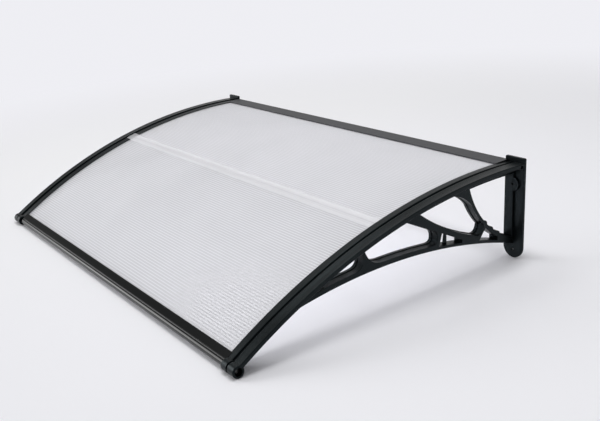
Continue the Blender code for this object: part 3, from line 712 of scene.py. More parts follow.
def moulded_plastic():
    """Black moulded plastic with a fine grain and slightly cloudy gloss."""
    finish = Finish("moulded_black_plastic", Specular_IOR_Level=0.18, Specular_Tint=grey(0.9, COOL))
    grain = finish.noise(500.0, 4.0, 0.65)
    clouds = finish.noise(14.0, 4.0, 0.6)
    dark, light = grey(0.002, COOL), grey(0.005, COOL)
    finish.set(base_color=finish.blend(finish.ramp(clouds, 0.0, 1.0, 0.35, 0.65), dark, light))
    finish.set(roughness=finish.ramp(clouds, 0.22, 0.30, *NOISE_SPAN) + grain * 0.12)
    finish.set(normal=finish.bump(grain, 0.0004, 0.7))
    return finish.material


def drawn_metal(name, tones, tint, roughness, metallic):
    """Anodised metal with the fine die lines of an extrusion along X."""
    finish = Finish(name, metallic=metallic, Specular_IOR_Level=0.3)
    lines = finish.noise(1.0, 3.0, 0.65, finish.stretched((3.0, 1600.0, 1600.0)))
    clouds = finish.noise(5.0, 3.0)
    dark, light = (grey(tone, tint) for tone in tones)
    finish.set(base_color=finish.blend(lines * 0.6 + clouds * 0.4, dark, light))
    finish.set(roughness=finish.ramp(lines, *roughness, 0.25, 0.75))
    finish.set(normal=finish.bump(lines, 0.00003, 0.4))
    return finish.material


def milky(finish, opacity, colour):
    """Makes a finish let light through: part straight, part spread out behind it."""
    spread = finish.node("BsdfTranslucent", None, {"Color": colour})
    clear = finish.node("BsdfTransparent")
    lamp = finish.node("LightPath", output="Is Shadow Ray")
    seen = opacity * (1.0 - lamp * LAMP_SHARE)
    return finish.closed_with(finish.mix(seen, clear, finish.mix(SCATTER, finish.body, spread)))


def twin_wall_plastic(name, tone, rear, front):
    """Clear twin-wall plastic, milky with wear, with a greyer line where each web meets a skin."""
    finish = Finish(name, roughness=0.3, Specular_IOR_Level=0.35)
    clouds = finish.noise(3.0, 3.0)
    first_web, web_pitch = webs(rear, front)
    spot = finish.where()
    ahead = finish.part(spot, "Y") * -1.0 + ARC_AXIS_Y * MM
    above = finish.part(spot, "Z") - (ARC_AXIS_Z * MM + FOOT_Z)
    turn = finish.maths("ARCTAN2", ahead, above)
    place = finish.maths("PINGPONG", (turn - first_web) / web_pitch, 0.5)
    line = finish.ramp(place, 1.0, 0.0, *WEB_FADE)
    # Painted light and shade: the tone makes the rear sheet lighter and the front sheet darker
    plain = finish.blend(clouds, grey(tone - TONE_PLAY, CLEAR), grey(tone + TONE_PLAY, CLEAR))
    finish.set(base_color=finish.blend(line, plain, WEB_GREY))
    edge_on = finish.node("LayerWeight", None, {"Blend": 0.5}, "Facing")
    worn = finish.ramp(clouds, *SHEET_OPACITY, *NOISE_SPAN)
    # Partly a painted sheen: more of the white body shows where the sheet is seen along its surface
    painted_sheen = finish.ramp(edge_on, 0.0, PAINTED_SHEEN_OPACITY, *PAINTED_SHEEN_TURN)
    return milky(finish, worn + painted_sheen + line * WEB_OPACITY, (0.9, 0.9, 0.92, 1.0))


def strip_plastic():
    """The joining strip: the same plastic, solid and a little milkier."""
    finish = Finish("milky_strip_plastic", roughness=0.25)
    streaks = finish.noise(1.0, 2.0, 0.5, finish.stretched((2.0, 500.0, 500.0)))
    finish.set(base_color=finish.blend(streaks, (0.90, 0.90, 0.92, 1.0), (0.95, 0.95, 0.97, 1.0)))
    finish.set(normal=finish.bump(streaks, 0.0002, 0.2))
    opacity = finish.ramp(streaks, *STRIP_OPACITY, *NOISE_SPAN)
    return milky(finish, opacity, (0.93, 0.93, 0.95, 1.0))


def blackened_steel():
    """Dark, slightly mottled steel of the screws."""
    finish = Finish("blackened_steel", metallic=0.9)
    clouds = finish.noise(600.0, 3.0)
    finish.set(base_color=finish.blend(clouds, grey(0.06), grey(0.14)))
    finish.set(roughness=finish.ramp(clouds, 0.3, 0.5, *NOISE_SPAN))
    finish.set(normal=finish.bump(clouds, 0.00005, 0.3))
    return finish.material


def floor_finish():
    """Pale matt floor, painted lighter towards the left as painted light, that fades into the background
    away from the canopy.
    """
    finish = Finish("pale_floor", roughness=0.6, Specular_IOR_Level=0.1)
    clouds = finish.noise(1.3, 3.0)
    across = finish.part(finish.where(), "X")
    # Painted light: the floor's colour lightens towards the left in place of brighter light on that side
    plain = finish.blend(finish.ramp(across, 0.0, 1.0, *FLOOR_PAINTED_LIGHT_TURN), FLOOR_PAINTED_LIGHT_LEFT, FLOOR_COLOUR)
    finish.set(base_color=finish.blend(clouds * 0.5, plain, grey(0.90, (1.0, 1.0, 1.04))))
    apart = finish.node("VectorMath", {"operation": "LENGTH"}, {0: finish.where()}, "Value")
    rays = finish.node("LightPath", output="Is Camera Ray")
    mirror = finish.node("LightPath", output="Is Glossy Ray")
    through = finish.node("LightPath", output="Is Transmission Ray")
    seen = finish.maths("MINIMUM", rays + mirror + through, 1.0)
    far = finish.ramp(apart, 0.0, 1.0, FADE_START, FADE_END)
    glow = finish.node("Emission", None, {"Color": BACKGROUND})
    return finish.closed_with(finish.mix(far * seen, finish.body, glow))


# Modelling helpers


def new_object(name, mesh, material=None):
    data = bpy.data.meshes.new(name)
    mesh.to_mesh(data)
    mesh.free()
    made = bpy.data.objects.new(name, data)
    bpy.context.scene.collection.objects.link(made)
    if material:
        data.materials.append(material)
    return made


def rounded_rims(mesh, edges, width, segments=3):
    """Rounds edges to a width with this many facets."""
    bmesh.ops.bevel(
        mesh,
        geom=edges,
        offset=width,
        offset_type="OFFSET",
        segments=segments,
        profile=0.5,
        affect="EDGES",
        clamp_overlap=True,
        material=-1,
    )


def extruded(mesh, face, reach):
    """Pulls walls from a face by a vector and gives the new face at their end; the old one stays."""
    grown = bmesh.ops.extrude_face_region(mesh, geom=[face], use_keep_orig=True)["geom"]
    moved = [v for v in grown if isinstance(v, bmesh.types.BMVert)]
    bmesh.ops.translate(mesh, vec=reach, verts=moved)
    return next(f for f in grown if isinstance(f, bmesh.types.BMFace))


def pulled(name, corners, reach, rims=(0.0, 0.0), segments=3):
    """A solid pulled from a flat outline by a vector, its near and far rims rounded."""
    mesh = bmesh.new()
    near = mesh.faces.new([mesh.verts.new(corner) for corner in corners])
    far = extruded(mesh, near, reach)
    bmesh.ops.recalc_face_normals(mesh, faces=mesh.faces)
    for face, width in zip((near, far), rims):
        if width:
            rounded_rims(mesh, list(face.edges), width, segments)
    return new_object(name, mesh)


def along_x(name, outline, start, end, rims=(0.0, 0.0), segments=3):
    """A solid between two X places through an outline in Y and Z."""
    corners = [(start, y, z) for y, z in outline]
    return pulled(name, corners, Vector((end - start, 0, 0)), rims, segments)


def along_y(name, outline, start, end, rims=(0.0, 0.0), segments=3):
    """A solid between two Y places through an outline in X and Z."""
    corners = [(x, start, z) for x, z in outline]
    return pulled(name, corners, Vector((0, end - start, 0)), rims, segments)


def spun(name, points, centre, axis, steps):
    """A solid turned from a line of points that starts and ends on its axis."""
    mesh = bmesh.new()
    corners = [mesh.verts.new(point) for point in points]
    edges = [mesh.edges.new(pair) for pair in zip(corners, corners[1:])]
    whole = {"angle": 2 * pi, "steps": steps, "use_merge": True}
    bmesh.ops.spin(mesh, geom=corners + edges, cent=centre, axis=axis, **whole)
    bmesh.ops.remove_doubles(mesh, verts=mesh.verts, dist=SAME_POINT)
    bmesh.ops.recalc_face_normals(mesh, faces=mesh.faces)
    return new_object(name, mesh)


def turned(name, axis, profile, steps=72):
    """A solid of (x, radius) steps turned about a line parallel to X."""
    closed = [(profile[0][0], 0.0), *profile, (profile[-1][0], 0.0)]
    points = [(x, axis[0], axis[1] + radius) for x, radius in closed]
    return spun(name, points, (0, *axis), (1, 0, 0), steps)


def round_corner(start, corner, end, radius, steps=5):
    """Points of the arc that rounds the corner of a profile with straight sides."""
    here = Vector(corner)
    first = (Vector(start) - here).normalized()
    last = (Vector(end) - here).normalized()
    opening = acos(max(-1.0, min(1.0, first.dot(last))))
    middle = here + (first + last).normalized() * radius / sin(opening / 2)
    first_arm = here + first * radius / tan(opening / 2) - middle
    last_arm = here + last * radius / tan(opening / 2) - middle
    points = []
    for i in range(steps + 1):
        arm = first_arm.lerp(last_arm, i / steps).normalized() * radius
        points.append(tuple(middle + arm))
    return points


def rounded_profile(corners):
    """A profile of (x, radius, rounding) corners with each rounding worked in."""
    points = []
    for i, (x, reach, rounding) in enumerate(corners):
        if rounding and 0 < i < len(corners) - 1:
            points += round_corner(corners[i - 1][:2], (x, reach), corners[i + 1][:2], rounding)
        else:
            points.append((x, reach))
    return points


def combine(body, operation, *tools):
    """The body after a Boolean with each tool in turn; the tools are used up."""
    for tool in tools:
        modifier = body.modifiers.new(tool.name, "BOOLEAN")
        modifier.operation = operation
        # The exact solver tears the bracket's union
        modifier.solver = "MANIFOLD"
        modifier.object = tool
    view = bpy.context.evaluated_depsgraph_get()
    old = body.data
    body.data = bpy.data.meshes.new_from_object(body.evaluated_get(view))
    body.modifiers.clear()
    bpy.data.meshes.remove(old)
    for tool in tools:
        bpy.data.objects.remove(tool)
    return body


def reworked(piece):
    """The piece's mesh open for more work; keep puts it back."""
    mesh = bmesh.new()
    mesh.from_mesh(piece.data)
    return mesh


def keep(piece, mesh):
    mesh.to_mesh(piece.data)
    mesh.free()
    return piece


def turn_over(mesh):
    """Puts a mesh on the other side of the canopy, as its mirror image."""
    bmesh.ops.scale(mesh, vec=(-1, 1, 1), verts=mesh.verts)
    bmesh.ops.reverse_faces(mesh, faces=mesh.faces)


def finished(piece, material, node):
    """Closes a drawn piece, puts it in its place in metres, shades it and hides the CAD node it stands in
    for.
    """
    mesh = reworked(piece)
    bmesh.ops.remove_doubles(mesh, verts=mesh.verts, dist=SAME_POINT)
    bmesh.ops.recalc_face_normals(mesh, faces=mesh.faces)
    keep(piece, mesh)
    piece.data.transform(Matrix.Translation((0, 0, FOOT_Z)) @ Matrix.Scale(MM, 4))
    piece.data.materials.clear()
    piece.data.materials.append(material)
    piece.data.shade_smooth()
    piece.data.set_sharp_from_angle(angle=radians(SHADING_ANGLE))
    weighted = piece.modifiers.new("even shading", "WEIGHTED_NORMAL")
    weighted.keep_sharp = True
    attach(piece, "root")
    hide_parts(node)


# Bracket


def arm_section():
    """(x from the plate's inner face, height) round the arm's section at the wall."""
    side = ARM_WIDTH - ARM_SIDE_INSET
    dish = [(GROOVE_OUT + (side - GROOVE_OUT) * t, 4 * CREST_DISH * t * (1 - t)) for t in DISH_STEPS]
    return [
        (-LIP_OVERHANG, 0.0),
        (GROOVE_IN, LIP_RISE),
        (GROOVE_IN, -GROOVE_DEPTH),
        (GROOVE_OUT, -GROOVE_DEPTH),
        (GROOVE_OUT, CREST_HEIGHT),
        *[(x, CREST_HEIGHT - sag) for x, sag in dish],
        (side, CREST_HEIGHT),
        (side, -SKIRT_DROP),
        (side - SKIRT_WALL, -SKIRT_DROP),
        (side - SKIRT_WALL, CREST_HEIGHT - CREST_DISH - CROWN_WALL),
        (RAIL_WIDTH, CREST_HEIGHT - CREST_DISH - CROWN_WALL),
        (RAIL_WIDTH, -RAIL_DROP),
        (GAP, -RAIL_DROP),
        (GAP, SLOT_LOW - SUPPORT_WALL),
        (-LIP_OVERHANG, SLOT_LOW - SUPPORT_WALL),
        (-LIP_OVERHANG, SLOT_LOW),
        (SLOT_WALL, SLOT_LOW),
        (SLOT_WALL, SLOT_TOP),
        (-LIP_OVERHANG, SLOT_TOP),
    ]


def arm():
    """The swept arm: its section spun about the roof's axis, narrowed to the front, then rounded."""
    mesh = bmesh.new()
    sweep = NOSE_ANGLE - ARM_REAR_ANGLE
    corners = [(ARM_INNER + x, *on_arc(ARM_REAR_ANGLE, height)) for x, height in arm_section()]
    face = mesh.faces.new([mesh.verts.new(corner) for corner in corners])
    bmesh.ops.spin(
        mesh,
        geom=[face],
        cent=(0, ARC_AXIS_Y, ARC_AXIS_Z),
        axis=(1, 0, 0),
        angle=radians(sweep),
        steps=ARM_STEPS,
    )
    bmesh.ops.holes_fill(mesh, edges=[e for e in mesh.edges if e.is_boundary])
    side = ARM_WIDTH - ARM_SIDE_INSET
    for vert in mesh.verts:
        angle = degrees(atan2(ARC_AXIS_Y - vert.co.y, vert.co.z - ARC_AXIS_Z))
        height = over_arc(vert.co)
        along = (angle - ARM_REAR_ANGLE) / sweep
        out = vert.co.x - ARM_INNER - RAIL_WIDTH
        if out > SAME_POINT:
            vert.co.x -= ARM_TAPER * along * out / (side - RAIL_WIDTH)
        if height < GAP - RAIL_DROP:
            thinning = max(0.0, (angle - RAIL_TAPER_ANGLE) / (NOSE_ANGLE - RAIL_TAPER_ANGLE))
            vert.co.yz = on_arc(angle, height + (RAIL_DROP - RAIL_NOSE_DROP) * thinning)
    bmesh.ops.recalc_face_normals(mesh, faces=mesh.faces)
    step = (ARC_RADIUS - 2 * RAIL_DROP) * radians(sweep) / ARM_STEPS
    for width, lowest, segments in ((ARM_TOP_EDGE, LIP_RISE / 2, 5), (ARM_EDGE, -ARC_RADIUS, 3)):
        long_edges = [
            e
            for e in mesh.edges
            if e.is_manifold
            and abs(e.verts[0].co.x - e.verts[1].co.x) < ARM_STEP_SHIFT
            and e.calc_length() > step
            and all(len(f.verts) == 4 for f in e.link_faces)
            and e.calc_face_angle() > radians(SHARP_EDGE)
            and all(over_arc(v.co) > lowest for v in e.verts)
        ]
        rounded_rims(mesh, long_edges, width, segments)
    body = new_object("arm", mesh)
    rear_edge = -WALL_BAR_DEPTH - GAP
    deep = ARC_TOP_Z - 3 * RAIL_DROP
    high = PLATE_TOP + RAIL_DROP
    rear = [(rear_edge, deep), (rear_edge, high), (RAIL_DROP, high), (RAIL_DROP, deep)]
    edge = FRONT_LIP_ANGLE - degrees(GAP / ARC_RADIUS)
    front = [
        beyond(edge, 0, -3 * RAIL_DROP),
        beyond(edge, 0, RAIL_DROP),
        beyond(edge, 4 * NOSE_RADIUS, RAIL_DROP),
        beyond(edge, 4 * NOSE_RADIUS, -3 * RAIL_DROP),
    ]
    ends = (ARM_INNER - 4 * LIP_OVERHANG, ARM_INNER + GAP / 2)
    notches = [along_x("notch", outline, *ends) for outline in (rear, front)]
    return combine(body, "DIFFERENCE", *notches)


def lattice():
    """The pierced ribbon: one blank from the chord to inside the rail, less its openings."""

    def inside_rail(y):
        return rail_z(y, 1.5 * ROOT - RAIL_DROP)

    back = -PLATE_THICKNESS / 2
    outline = curve(chord_low, back, CHORD_TIP_Y, 20) + curve(inside_rail, CHORD_TIP_Y, back, 10)
    blank = along_x("lattice", outline, LATTICE_INNER, LATTICE_OUTER)
    inside = LATTICE_INNER - ROOT
    outside = LATTICE_OUTER + ROOT
    rim_end = LATTICE_INNER + RIM_WIDTH
    cutters = []
    for opening in (wall_opening, middle_opening, long_opening, slim_opening, foot_opening, tip_opening):
        outline = opening()
        if opening in (slim_opening, foot_opening):
            cutters.append(along_x("small opening", outline, inside, outside))
        else:
            cutters.append(along_x("opening", outline, rim_end, outside))
            cutters.append(along_x("rim", inset(outline, RIM_STEP), inside, rim_end + GAP))
    combine(blank, "DIFFERENCE", *cutters)
    mesh = reworked(blank)
    for place, width in ((LATTICE_OUTER, LATTICE_EDGE), (LATTICE_INNER, LATTICE_EDGE / 2)):
        rims = [
            e
            for e in mesh.edges
            if e.is_manifold
            and all(abs(v.co.x - place) < SAME_POINT for v in e.verts)
            and e.calc_face_angle() > radians(SHARP_EDGE)
        ]
        rounded_rims(mesh, rims, width)
    return keep(blank, mesh)


def wall_plate():
    """The flat plate with a round foot, soft front edges and a bite where the wall bar's end sits."""
    half = (ARM_WIDTH + PLATE_INSIDE) / 2
    middle = ARM_INNER + ARM_WIDTH - half
    left, right = middle - half, middle + half
    bar_top = WALL_BAR_BACK_TOP + GAP
    bar_foot = WALL_BAR_FOOT - GAP
    shoulder = PLATE_TOP - PLATE_CORNER
    outline = (
        round_points((middle, half), half, 180, 360, 48)
        + bend((right, shoulder), (right, PLATE_TOP), (right - PLATE_CORNER, PLATE_TOP), 5)
        + bend((left + PLATE_CORNER, PLATE_TOP), (left, PLATE_TOP), (left, shoulder), 5)
        + [(left, bar_top), (ARM_INNER, bar_top), (ARM_INNER, bar_foot), (left, bar_foot)]
    )
    return along_y("plate", outline, 0.0, -PLATE_THICKNESS, (0.0, PLATE_BEVEL), 4)


def wall_rib():
    """The thicker upright in front of the plate that the lattice springs from."""
    left = LATTICE_INNER + GAP
    right = ARM_INNER + RIB_WIDTH
    top = ARC_TOP_Z - RAIL_DROP + ROOT
    outline = [(left, RIB_BOTTOM), (right, RIB_BOTTOM), (right, top), (left, top)]
    return along_y("rib", outline, -PLATE_THICKNESS / 2, -RIB_FRONT, (0.0, RIB_EDGE))


def wall_boss():
    """The round pad of the upper wall screw, flush with the rib."""
    outline = ring((ARM_INNER + WALL_HOLE_X, WALL_HOLE_HIGH), WALL_BOSS_RADIUS, 72)
    inner = LATTICE_INNER + 2 * GAP
    outline = [(max(x, inner), z) for x, z in outline]
    keeps = [p for p, q in zip(outline, outline[1:] + outline[:1]) if p != q]
    return along_y("boss", keeps, -PLATE_THICKNESS / 2, GAP - RIB_FRONT, (0.0, RIB_EDGE))


def nose():
    """The round nose: a collar at the bar's end, a slit and the outer part."""
    start = ARM_INNER + GAP
    slit = ARM_INNER + COLLAR_LENGTH
    neck = NOSE_RADIUS - NOSE_SLIT_DEPTH
    end = NOSE_OUTER + GAP
    corners = (
        (start, 0.0, 0.0),
        (start, NOSE_RADIUS, NOSE_EDGE),
        (slit, NOSE_RADIUS, NOSE_SLIT_EDGE),
        (slit, neck, 0.0),
        (slit + NOSE_SLIT, neck, 0.0),
        (slit + NOSE_SLIT, NOSE_RADIUS, NOSE_SLIT_EDGE),
        (end, NOSE_RADIUS, NOSE_EDGE),
        (end, 0.0, 0.0),
    )
    return turned("nose", BAR_AXIS, rounded_profile(corners)[1:-1])


def beads():
    """Round-backed beads on the wall side of the strut, rounded off at both ends."""
    high = atan2(strut_low(BEAD_HIGH_Y) - STRUT_CENTRE[1], BEAD_HIGH_Y - STRUT_CENTRE[0])
    sunk = BEAD_RADIUS - BEAD_HEIGHT
    made = []
    for i in range(BEAD_COUNT):
        angle = degrees(high + BEAD_PITCH / STRUT_RADIUS * i)
        spot = round_points(STRUT_CENTRE, STRUT_RADIUS + sunk, angle, 0, 1)[0]
        half = degrees(acos((sunk - BEAD_BITE) / BEAD_RADIUS))
        arc = round_points(spot, BEAD_RADIUS, angle + 180 - half, angle + 180 + half, 24)
        ends = (LATTICE_INNER + BEAD_SETBACK, LATTICE_OUTER - BEAD_SETBACK)
        made.append(along_x(f"bead {i}", arc, *ends, (BEAD_ROUNDING, BEAD_ROUNDING), 5))
    return made


def post():
    """The thin post that crosses the slim triangle in the middle of the ribbon."""
    middle = (LATTICE_INNER + LATTICE_OUTER) / 2
    low = slim_floor(POST_Y) - ROOT / 2
    top = brace_low(POST_Y) + ROOT / 2
    front, back = POST_Y - POST_THICK / 2, POST_Y + POST_THICK / 2
    outline = [(front - POST_LEAN, low), (front, top), (back, top), (back, low)]
    ends = (middle - POST_WIDTH / 2, middle + POST_WIDTH / 2)
    return along_x("post", outline, *ends, (POST_EDGE, POST_EDGE))


def side_boss():
    """The boss that the wall bar's end screw goes through, at the root of the arm."""
    reach = SIDE_SCREW_HEAD + SCREW_PLAY + SIDE_BOSS_WALL
    ends = (ARM_INNER + RAIL_WIDTH - ROOT / 2, ARM_INNER + ARM_WIDTH - 2 * ARM_SIDE_INSET)
    return turned("side boss", WALL_PORT, [(x, reach) for x in ends])


def stepped_hole(name, axis, floor, head, shank, mouth, edge):
    """A through hole along X with a wider recess from the outside to its floor, and a soft mouth."""
    start = ARM_INNER - ROOT
    corners = (
        (start, shank, 0.0),
        (floor, shank, 0.0),
        (floor, head, 0.0),
        (mouth, head, edge),
        (mouth, head + 2 * edge, 0.0),
        (mouth + ROOT, head + 2 * edge, 0.0),
    )
    return turned(name, axis, rounded_profile(corners))


def wall_hole(z, front):
    """A hole through the plate with a countersunk mouth at its front."""
    x = ARM_INNER + WALL_HOLE_X
    steps = (
        (ROOT, 0.0),
        (ROOT, WALL_HOLE_RADIUS),
        (COUNTERSINK - WALL_HOLE_RADIUS - front, WALL_HOLE_RADIUS),
        (-front, COUNTERSINK),
        (-front - ROOT, COUNTERSINK),
        (-front - ROOT, 0.0),
    )
    points = [(x, y, z + radius) for y, radius in steps]
    return spun("wall hole", points, (x, 0, z), (0, 1, 0), 36)


def right_bracket():
    """One moulded bracket in one piece, drawn for the right-hand side."""
    body = arm()
    wall_side = (lattice(), wall_plate(), wall_rib(), wall_boss())
    combine(body, "UNION", *wall_side, nose(), *beads(), post(), side_boss())
    nose_hole = stepped_hole(
        "nose hole",
        BAR_AXIS,
        NOSE_OUTER - RECESS_DEPTH,
        RECESS_RADIUS,
        BAR_SCREW_RADIUS + SCREW_PLAY,
        NOSE_OUTER + GAP,
        RECESS_MOUTH,
    )
    side_hole = stepped_hole(
        "side hole",
        WALL_PORT,
        SIDE_SCREW_FLOOR,
        SIDE_SCREW_HEAD + SCREW_PLAY,
        SIDE_SCREW_RADIUS + SCREW_PLAY,
        ARM_INNER + ARM_WIDTH - 2 * ARM_SIDE_INSET,
        RECESS_MOUTH / 2,
    )
    low_hole = wall_hole(WALL_HOLE_LOW, PLATE_THICKNESS)
    high_hole = wall_hole(WALL_HOLE_HIGH, RIB_FRONT - GAP)
    return combine(body, "DIFFERENCE", nose_hole, side_hole, low_hole, high_hole)


def mirrored(piece, name):
    """The same piece on the other side of the canopy."""
    mesh = reworked(piece)
    turn_over(mesh)
    return new_object(name, mesh)


def brackets(material):
    right = right_bracket()
    right.name = "moulded_bracket_right"
    left = mirrored(right, "moulded_bracket_left")
    finished(right, material, "bracket_right")
    finished(left, material, "bracket_left")


# Bars and strip


def cut_through(bar, *outlines):
    """Cuts openings through a bar from end to end."""
    ends = (-BAR_HALF - ROOT, BAR_HALF + ROOT)
    combine(bar, "DIFFERENCE", *[along_x("opening", outline, *ends) for outline in outlines])


def front_bar(material):
    """The extruded front bar: a lip with a round ridge in front of it, a flange and a round tube."""

    def place(forward, height):
        return beyond(FRONT_LIP_ANGLE, forward, height)

    def tube(radius, start, end, steps):
        spots = round_points((BAR_AXIS_FORWARD, -BAR_AXIS_DROP), radius, start, end, steps)
        return [place(*spot) for spot in spots]

    rise = (BAR_RIDGE_HEIGHT - BAR_RIDGE_EDGE) / (BAR_RIDGE_AT - BAR_RIDGE_SLOPE)
    valley_height = BAR_RIDGE_HEIGHT - BAR_VALLEY_DROP + BAR_AXIS_DROP
    valley = degrees(atan2(valley_height, BAR_RIDGE_AT + BAR_RIDGE_SLOPE - BAR_AXIS_FORWARD))
    flange = degrees(asin((SLOT_LOW - BAR_FLANGE + BAR_AXIS_DROP) / BAR_TUBE_RADIUS))
    foot = place(BAR_RIDGE_AT - BAR_RIDGE_SLOPE, BAR_RIDGE_HEIGHT - BAR_RIDGE_EDGE)
    crest_start = place(BAR_RIDGE_AT - BAR_RIDGE_ROUND, BAR_RIDGE_HEIGHT)
    crest = place(BAR_RIDGE_AT, BAR_RIDGE_HEIGHT)
    crest_end = place(BAR_RIDGE_AT + BAR_RIDGE_ROUND, BAR_RIDGE_HEIGHT)
    round_tube = tube(BAR_TUBE_RADIUS, valley, -180 - flange, 72)
    outline = (
        [place(0, SLOT_TOP)]
        + bend(place(0, -BAR_EDGE), place(0, 0), place(BAR_EDGE, BAR_EDGE * rise), 4)
        + bend(foot, crest_start, crest, 5)
        + bend(crest, crest_end, round_tube[0], 5)[1:-1]
        + round_tube
        + [place(0, SLOT_LOW - BAR_FLANGE), place(0, SLOT_LOW)]
        + [place(BAR_SLOT, SLOT_LOW), place(BAR_SLOT, SLOT_TOP)]
    )
    body = along_x("extruded_front_bar", outline, -BAR_HALF, BAR_HALF)
    bore = BAR_SCREW_RADIUS + SCREW_PLAY
    hollow = tube(BAR_TUBE_RADIUS - BAR_TUBE_WALL, -BAR_HOLLOW_END, BAR_HOLLOW_END, 48)
    hollow += tube(bore + PORT_WALL, BAR_HOLLOW_END, -BAR_HOLLOW_END, 32)
    cut_through(body, hollow, ring(BAR_AXIS, bore, 32))
    finished(body, material, "front_bar")


def wall_bar(material):
    """The extruded bar on the wall: a roof lip and a lower lip hold the rear sheet."""
    front = -WALL_BAR_DEPTH
    slot = front + WALL_BAR_SLOT
    sheet_top = rail_z(front, -SHEET_TOP) + GAP
    sheet_low = rail_z(front, -SHEET_BOTTOM) - GAP
    wall = WALL_BAR_WALL
    slope = (WALL_BAR_BACK_TOP - WALL_BAR_FRONT_TOP) / WALL_BAR_DEPTH

    def roof(y):
        return WALL_BAR_FRONT_TOP + slope * (y - front)

    edge = BAR_EDGE
    outline = (
        [(0.0, WALL_BAR_FOOT)]
        + bend((0.0, WALL_BAR_BACK_TOP - edge), (0.0, WALL_BAR_BACK_TOP), (-edge, roof(-edge)), 4)
        + bend((front + edge, roof(front + edge)), (front, roof(front)), (front, roof(front) - edge), 4)
        + [
            (front, sheet_top),
            (front + wall, sheet_top),
            (front + wall, roof(front) - wall),
            (slot, roof(slot) - wall),
            (slot, sheet_low),
            (front, sheet_low),
            (front, sheet_low - wall),
            (-wall, sheet_low - wall),
            (-wall, WALL_BAR_FOOT),
        ]
    )
    body = along_x("extruded_wall_bar", outline, -BAR_HALF, BAR_HALF)
    reach = SIDE_SCREW_RADIUS + SCREW_PLAY + PORT_WALL
    openings = [ring(WALL_PORT, reach - PORT_WALL, 32)]
    for back, fore in ((-wall, WALL_PORT_Y + reach), (WALL_PORT_Y - reach, slot + wall)):
        high = [(back, roof(back) - wall), (fore, roof(fore) - wall)]
        openings.append([(back, sheet_low), *high, (fore, sheet_low)])
    cut_through(body, *openings)
    finished(body, material, "wall_bar")


def joining_strip(material):
    """An H profile between the sheets; its ridged cover runs on over the left arm's lip."""

    def beside(forward, height):
        return beyond(STRIP_ANGLE, forward, height)

    half = STRIP_WIDTH / 2
    end = ARM_INNER - LIP_OVERHANG - STRIP_END_GAP
    web = STRIP_WALL / 2
    ridges = [(forward, SLOT_TOP + rise) for forward, rise in STRIP_COVER]
    profile = ridges + [(half, SLOT_TOP), (-half, SLOT_TOP)]
    mesh = bmesh.new()
    cap = mesh.faces.new([mesh.verts.new((end, *beside(*spot))) for spot in profile])
    climb = LIP_RISE * STRIP_TONGUE / (GROOVE_IN + LIP_OVERHANG)
    left = -end - STRIP_END_GAP
    rows = ((STRIP_RAMP - end, 0.0), (left, 2 * GAP - SLOT_TOP), (left - STRIP_TONGUE, climb))
    reached = end
    for x, lift in rows:
        step = Vector(beside(0, lift)) - Vector(beside(0, 0))
        grown = extruded(mesh, cap, (x - reached, step.x, step.y))
        if reached != end:
            bmesh.ops.delete(mesh, geom=[cap], context="FACES_ONLY")
        cap = grown
        reached = x
    bmesh.ops.recalc_face_normals(mesh, faces=mesh.faces)
    rounded_rims(mesh, list(cap.edges), STRIP_END_EDGE)
    cover = new_object("ridged_joining_strip", mesh)
    beam = [
        beside(-web, SLOT_LOW),
        beside(-half, SLOT_LOW),
        beside(-half, SLOT_LOW - STRIP_WALL),
        beside(half, SLOT_LOW - STRIP_WALL),
        beside(half, SLOT_LOW),
        beside(web, SLOT_LOW),
        beside(web, SLOT_TOP + web),
        beside(-web, SLOT_TOP + web),
    ]
    combine(cover, "UNION", along_x("beam", beam, -end, end))
    finished(cover, material, "joining_strip")


# Screws


def screw(kind, side, axis, floor, sizes, tip, material):
    """A screw along X with a domed, cross-recessed head on the floor of its hole."""
    shank, head, height = sizes
    seat = floor + GAP
    dome = [(seat + height * sin(radians(a)), head * cos(radians(a))) for a in range(0, 90, 10)]
    rod = [(tip, shank * SCREW_TIP), (tip + shank, shank), (seat, shank)]
    body = turned(f"black_{kind}_{side}", axis, rod + dome, 48)
    top = seat + height
    for across, along in ((CROSS_WIDTH, head), (head, CROSS_WIDTH)):
        y, z = axis
        corners = [(y - across / 2, z - along / 2), (y + across / 2, z - along / 2)]
        corners += [(y + across / 2, z + along / 2), (y - across / 2, z + along / 2)]
        combine(body, "DIFFERENCE", along_x("cross", corners, top - CROSS_DEPTH, top + ROOT))
    if side == "left":
        mesh = reworked(body)
        turn_over(mesh)
        keep(body, mesh)
    finished(body, material, f"{kind}_{side}")


def screws(material):
    """One screw at each end of the wall bar and one at each end of the front bar."""
    side_sizes = (SIDE_SCREW_RADIUS, SIDE_SCREW_HEAD, SIDE_SCREW_HEAD_HEIGHT)
    bar_sizes = (BAR_SCREW_RADIUS, BAR_SCREW_HEAD, BAR_SCREW_HEAD_HEIGHT)
    side_place = (WALL_PORT, SIDE_SCREW_FLOOR, side_sizes, BAR_HALF - SIDE_SCREW_BITE)
    bar_place = (BAR_AXIS, NOSE_OUTER - RECESS_DEPTH, bar_sizes, BAR_HALF - BAR_SCREW_BITE)
    for side in ("left", "right"):
        screw("wall_bar_screw", side, *side_place, material)
        screw("front_bar_screw", side, *bar_place, material)


# Stage


def floor():
    """A wide disc through the feet of the plates, sloping as the canopy rests."""
    mesh = bmesh.new()
    bmesh.ops.create_circle(mesh, cap_ends=True, segments=96, radius=FLOOR_RADIUS)
    tilt = Matrix.Rotation(atan(FLOOR_SLOPE), 4, "X")
    bmesh.ops.transform(mesh, matrix=Matrix.Translation((0, 0, FOOT_Z)) @ tilt, verts=mesh.verts)
    new_object("floor", mesh, floor_finish())


def lamps():
    """Two soft rectangular lamps, each turned to its target."""
    for name, place, target, width, height, power in LAMPS:
        data = bpy.data.lights.new(name, "AREA")
        data.shape = "RECTANGLE"
        data.size = width
        data.size_y = height
        data.energy = power
        lamp = bpy.data.objects.new(name, data)
        lamp.location = place
        lamp.rotation_mode = "QUATERNION"
        lamp.rotation_quaternion = (Vector(target) - Vector(place)).to_track_quat("-Z", "Y")
        bpy.context.scene.collection.objects.link(lamp)


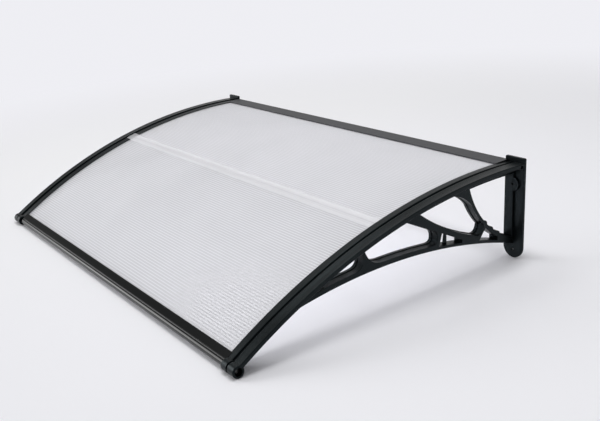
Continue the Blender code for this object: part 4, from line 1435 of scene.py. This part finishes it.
def world():
    """White light from all round with brighter patches; the camera sees a plain background."""
    made = bpy.data.worlds.new("studio")
    nodes = Nodes(made)
    light = nodes.tree.nodes["Background"]
    direction = nodes.node("TexCoord", output="Generated")
    fill = nodes.ramp(nodes.part(direction, "X"), FILL_LEFT, FILL_RIGHT, -FILL_TURN, FILL_TURN)
    total = nodes.ramp(nodes.part(direction, "Z"), FILL_LOW, fill, *FILL_RISE)
    for place, edge, middle, strength in ROOM:
        vectors = {0: direction, 1: place}
        facing = nodes.node("VectorMath", {"operation": "DOT_PRODUCT"}, vectors, "Value")
        total += nodes.ramp(facing, 0.0, strength, edge, middle)
    nodes.feed(light.inputs["Color"], grey(1.0))
    nodes.feed(light.inputs["Strength"], total)
    backdrop = nodes.node("Background", None, {"Color": BACKGROUND})
    seen = nodes.node("LightPath", output="Is Camera Ray")
    surface = nodes.mix(seen, Value(nodes, light.outputs[0]), backdrop)
    nodes.feed(nodes.tree.nodes["World Output"].inputs["Surface"], surface)
    bpy.context.scene.world = made


def camera():
    """The camera of the photograph, turned by yaw, pitch and roll."""
    yaw, pitch, roll = radians(CAMERA_YAW), radians(CAMERA_PITCH), radians(CAMERA_ROLL)
    ahead = Vector((-sin(yaw) * cos(pitch), cos(yaw) * cos(pitch), -sin(pitch)))
    level = Vector((cos(yaw), sin(yaw), 0.0))
    upright = level.cross(ahead)
    right = level * cos(roll) + upright * sin(roll)
    up = upright * cos(roll) - level * sin(roll)
    data = bpy.data.cameras.new("camera")
    data.sensor_width = SENSOR_WIDTH
    data.lens = FOCAL_PIXELS / IMAGE_WIDTH * SENSOR_WIDTH
    made = bpy.data.objects.new("camera", data)
    turn = Matrix((right, up, -ahead)).transposed()
    made.matrix_world = Matrix.Translation(CAMERA_PLACE) @ turn.to_4x4()
    bpy.context.scene.collection.objects.link(made)
    bpy.context.scene.camera = made


def paint(material, node):
    """Gives a CAD node the finish in place of its plain one."""
    slots = frame["nodes"][node].data.materials
    slots.clear()
    slots.append(material)


camera()
world()
lamps()
floor()
brackets(moulded_plastic())
front_bar(drawn_metal("black_anodised_bar", (0.002, 0.004), COOL, (0.10, 0.15), metallic=0.0))
wall_bar(drawn_metal("grey_anodised_bar", (0.07, 0.10), BLUISH, (0.45, 0.55), metallic=0.6))
for sheet, ends in sheet_ends().items():
    paint(twin_wall_plastic(f"clear_{sheet}", SHEET_PAINTED_LIGHT_TONES[sheet], *ends), sheet)
joining_strip(strip_plastic())
screws(blackened_steel())

bpy.context.scene.view_settings.view_transform = "Standard"
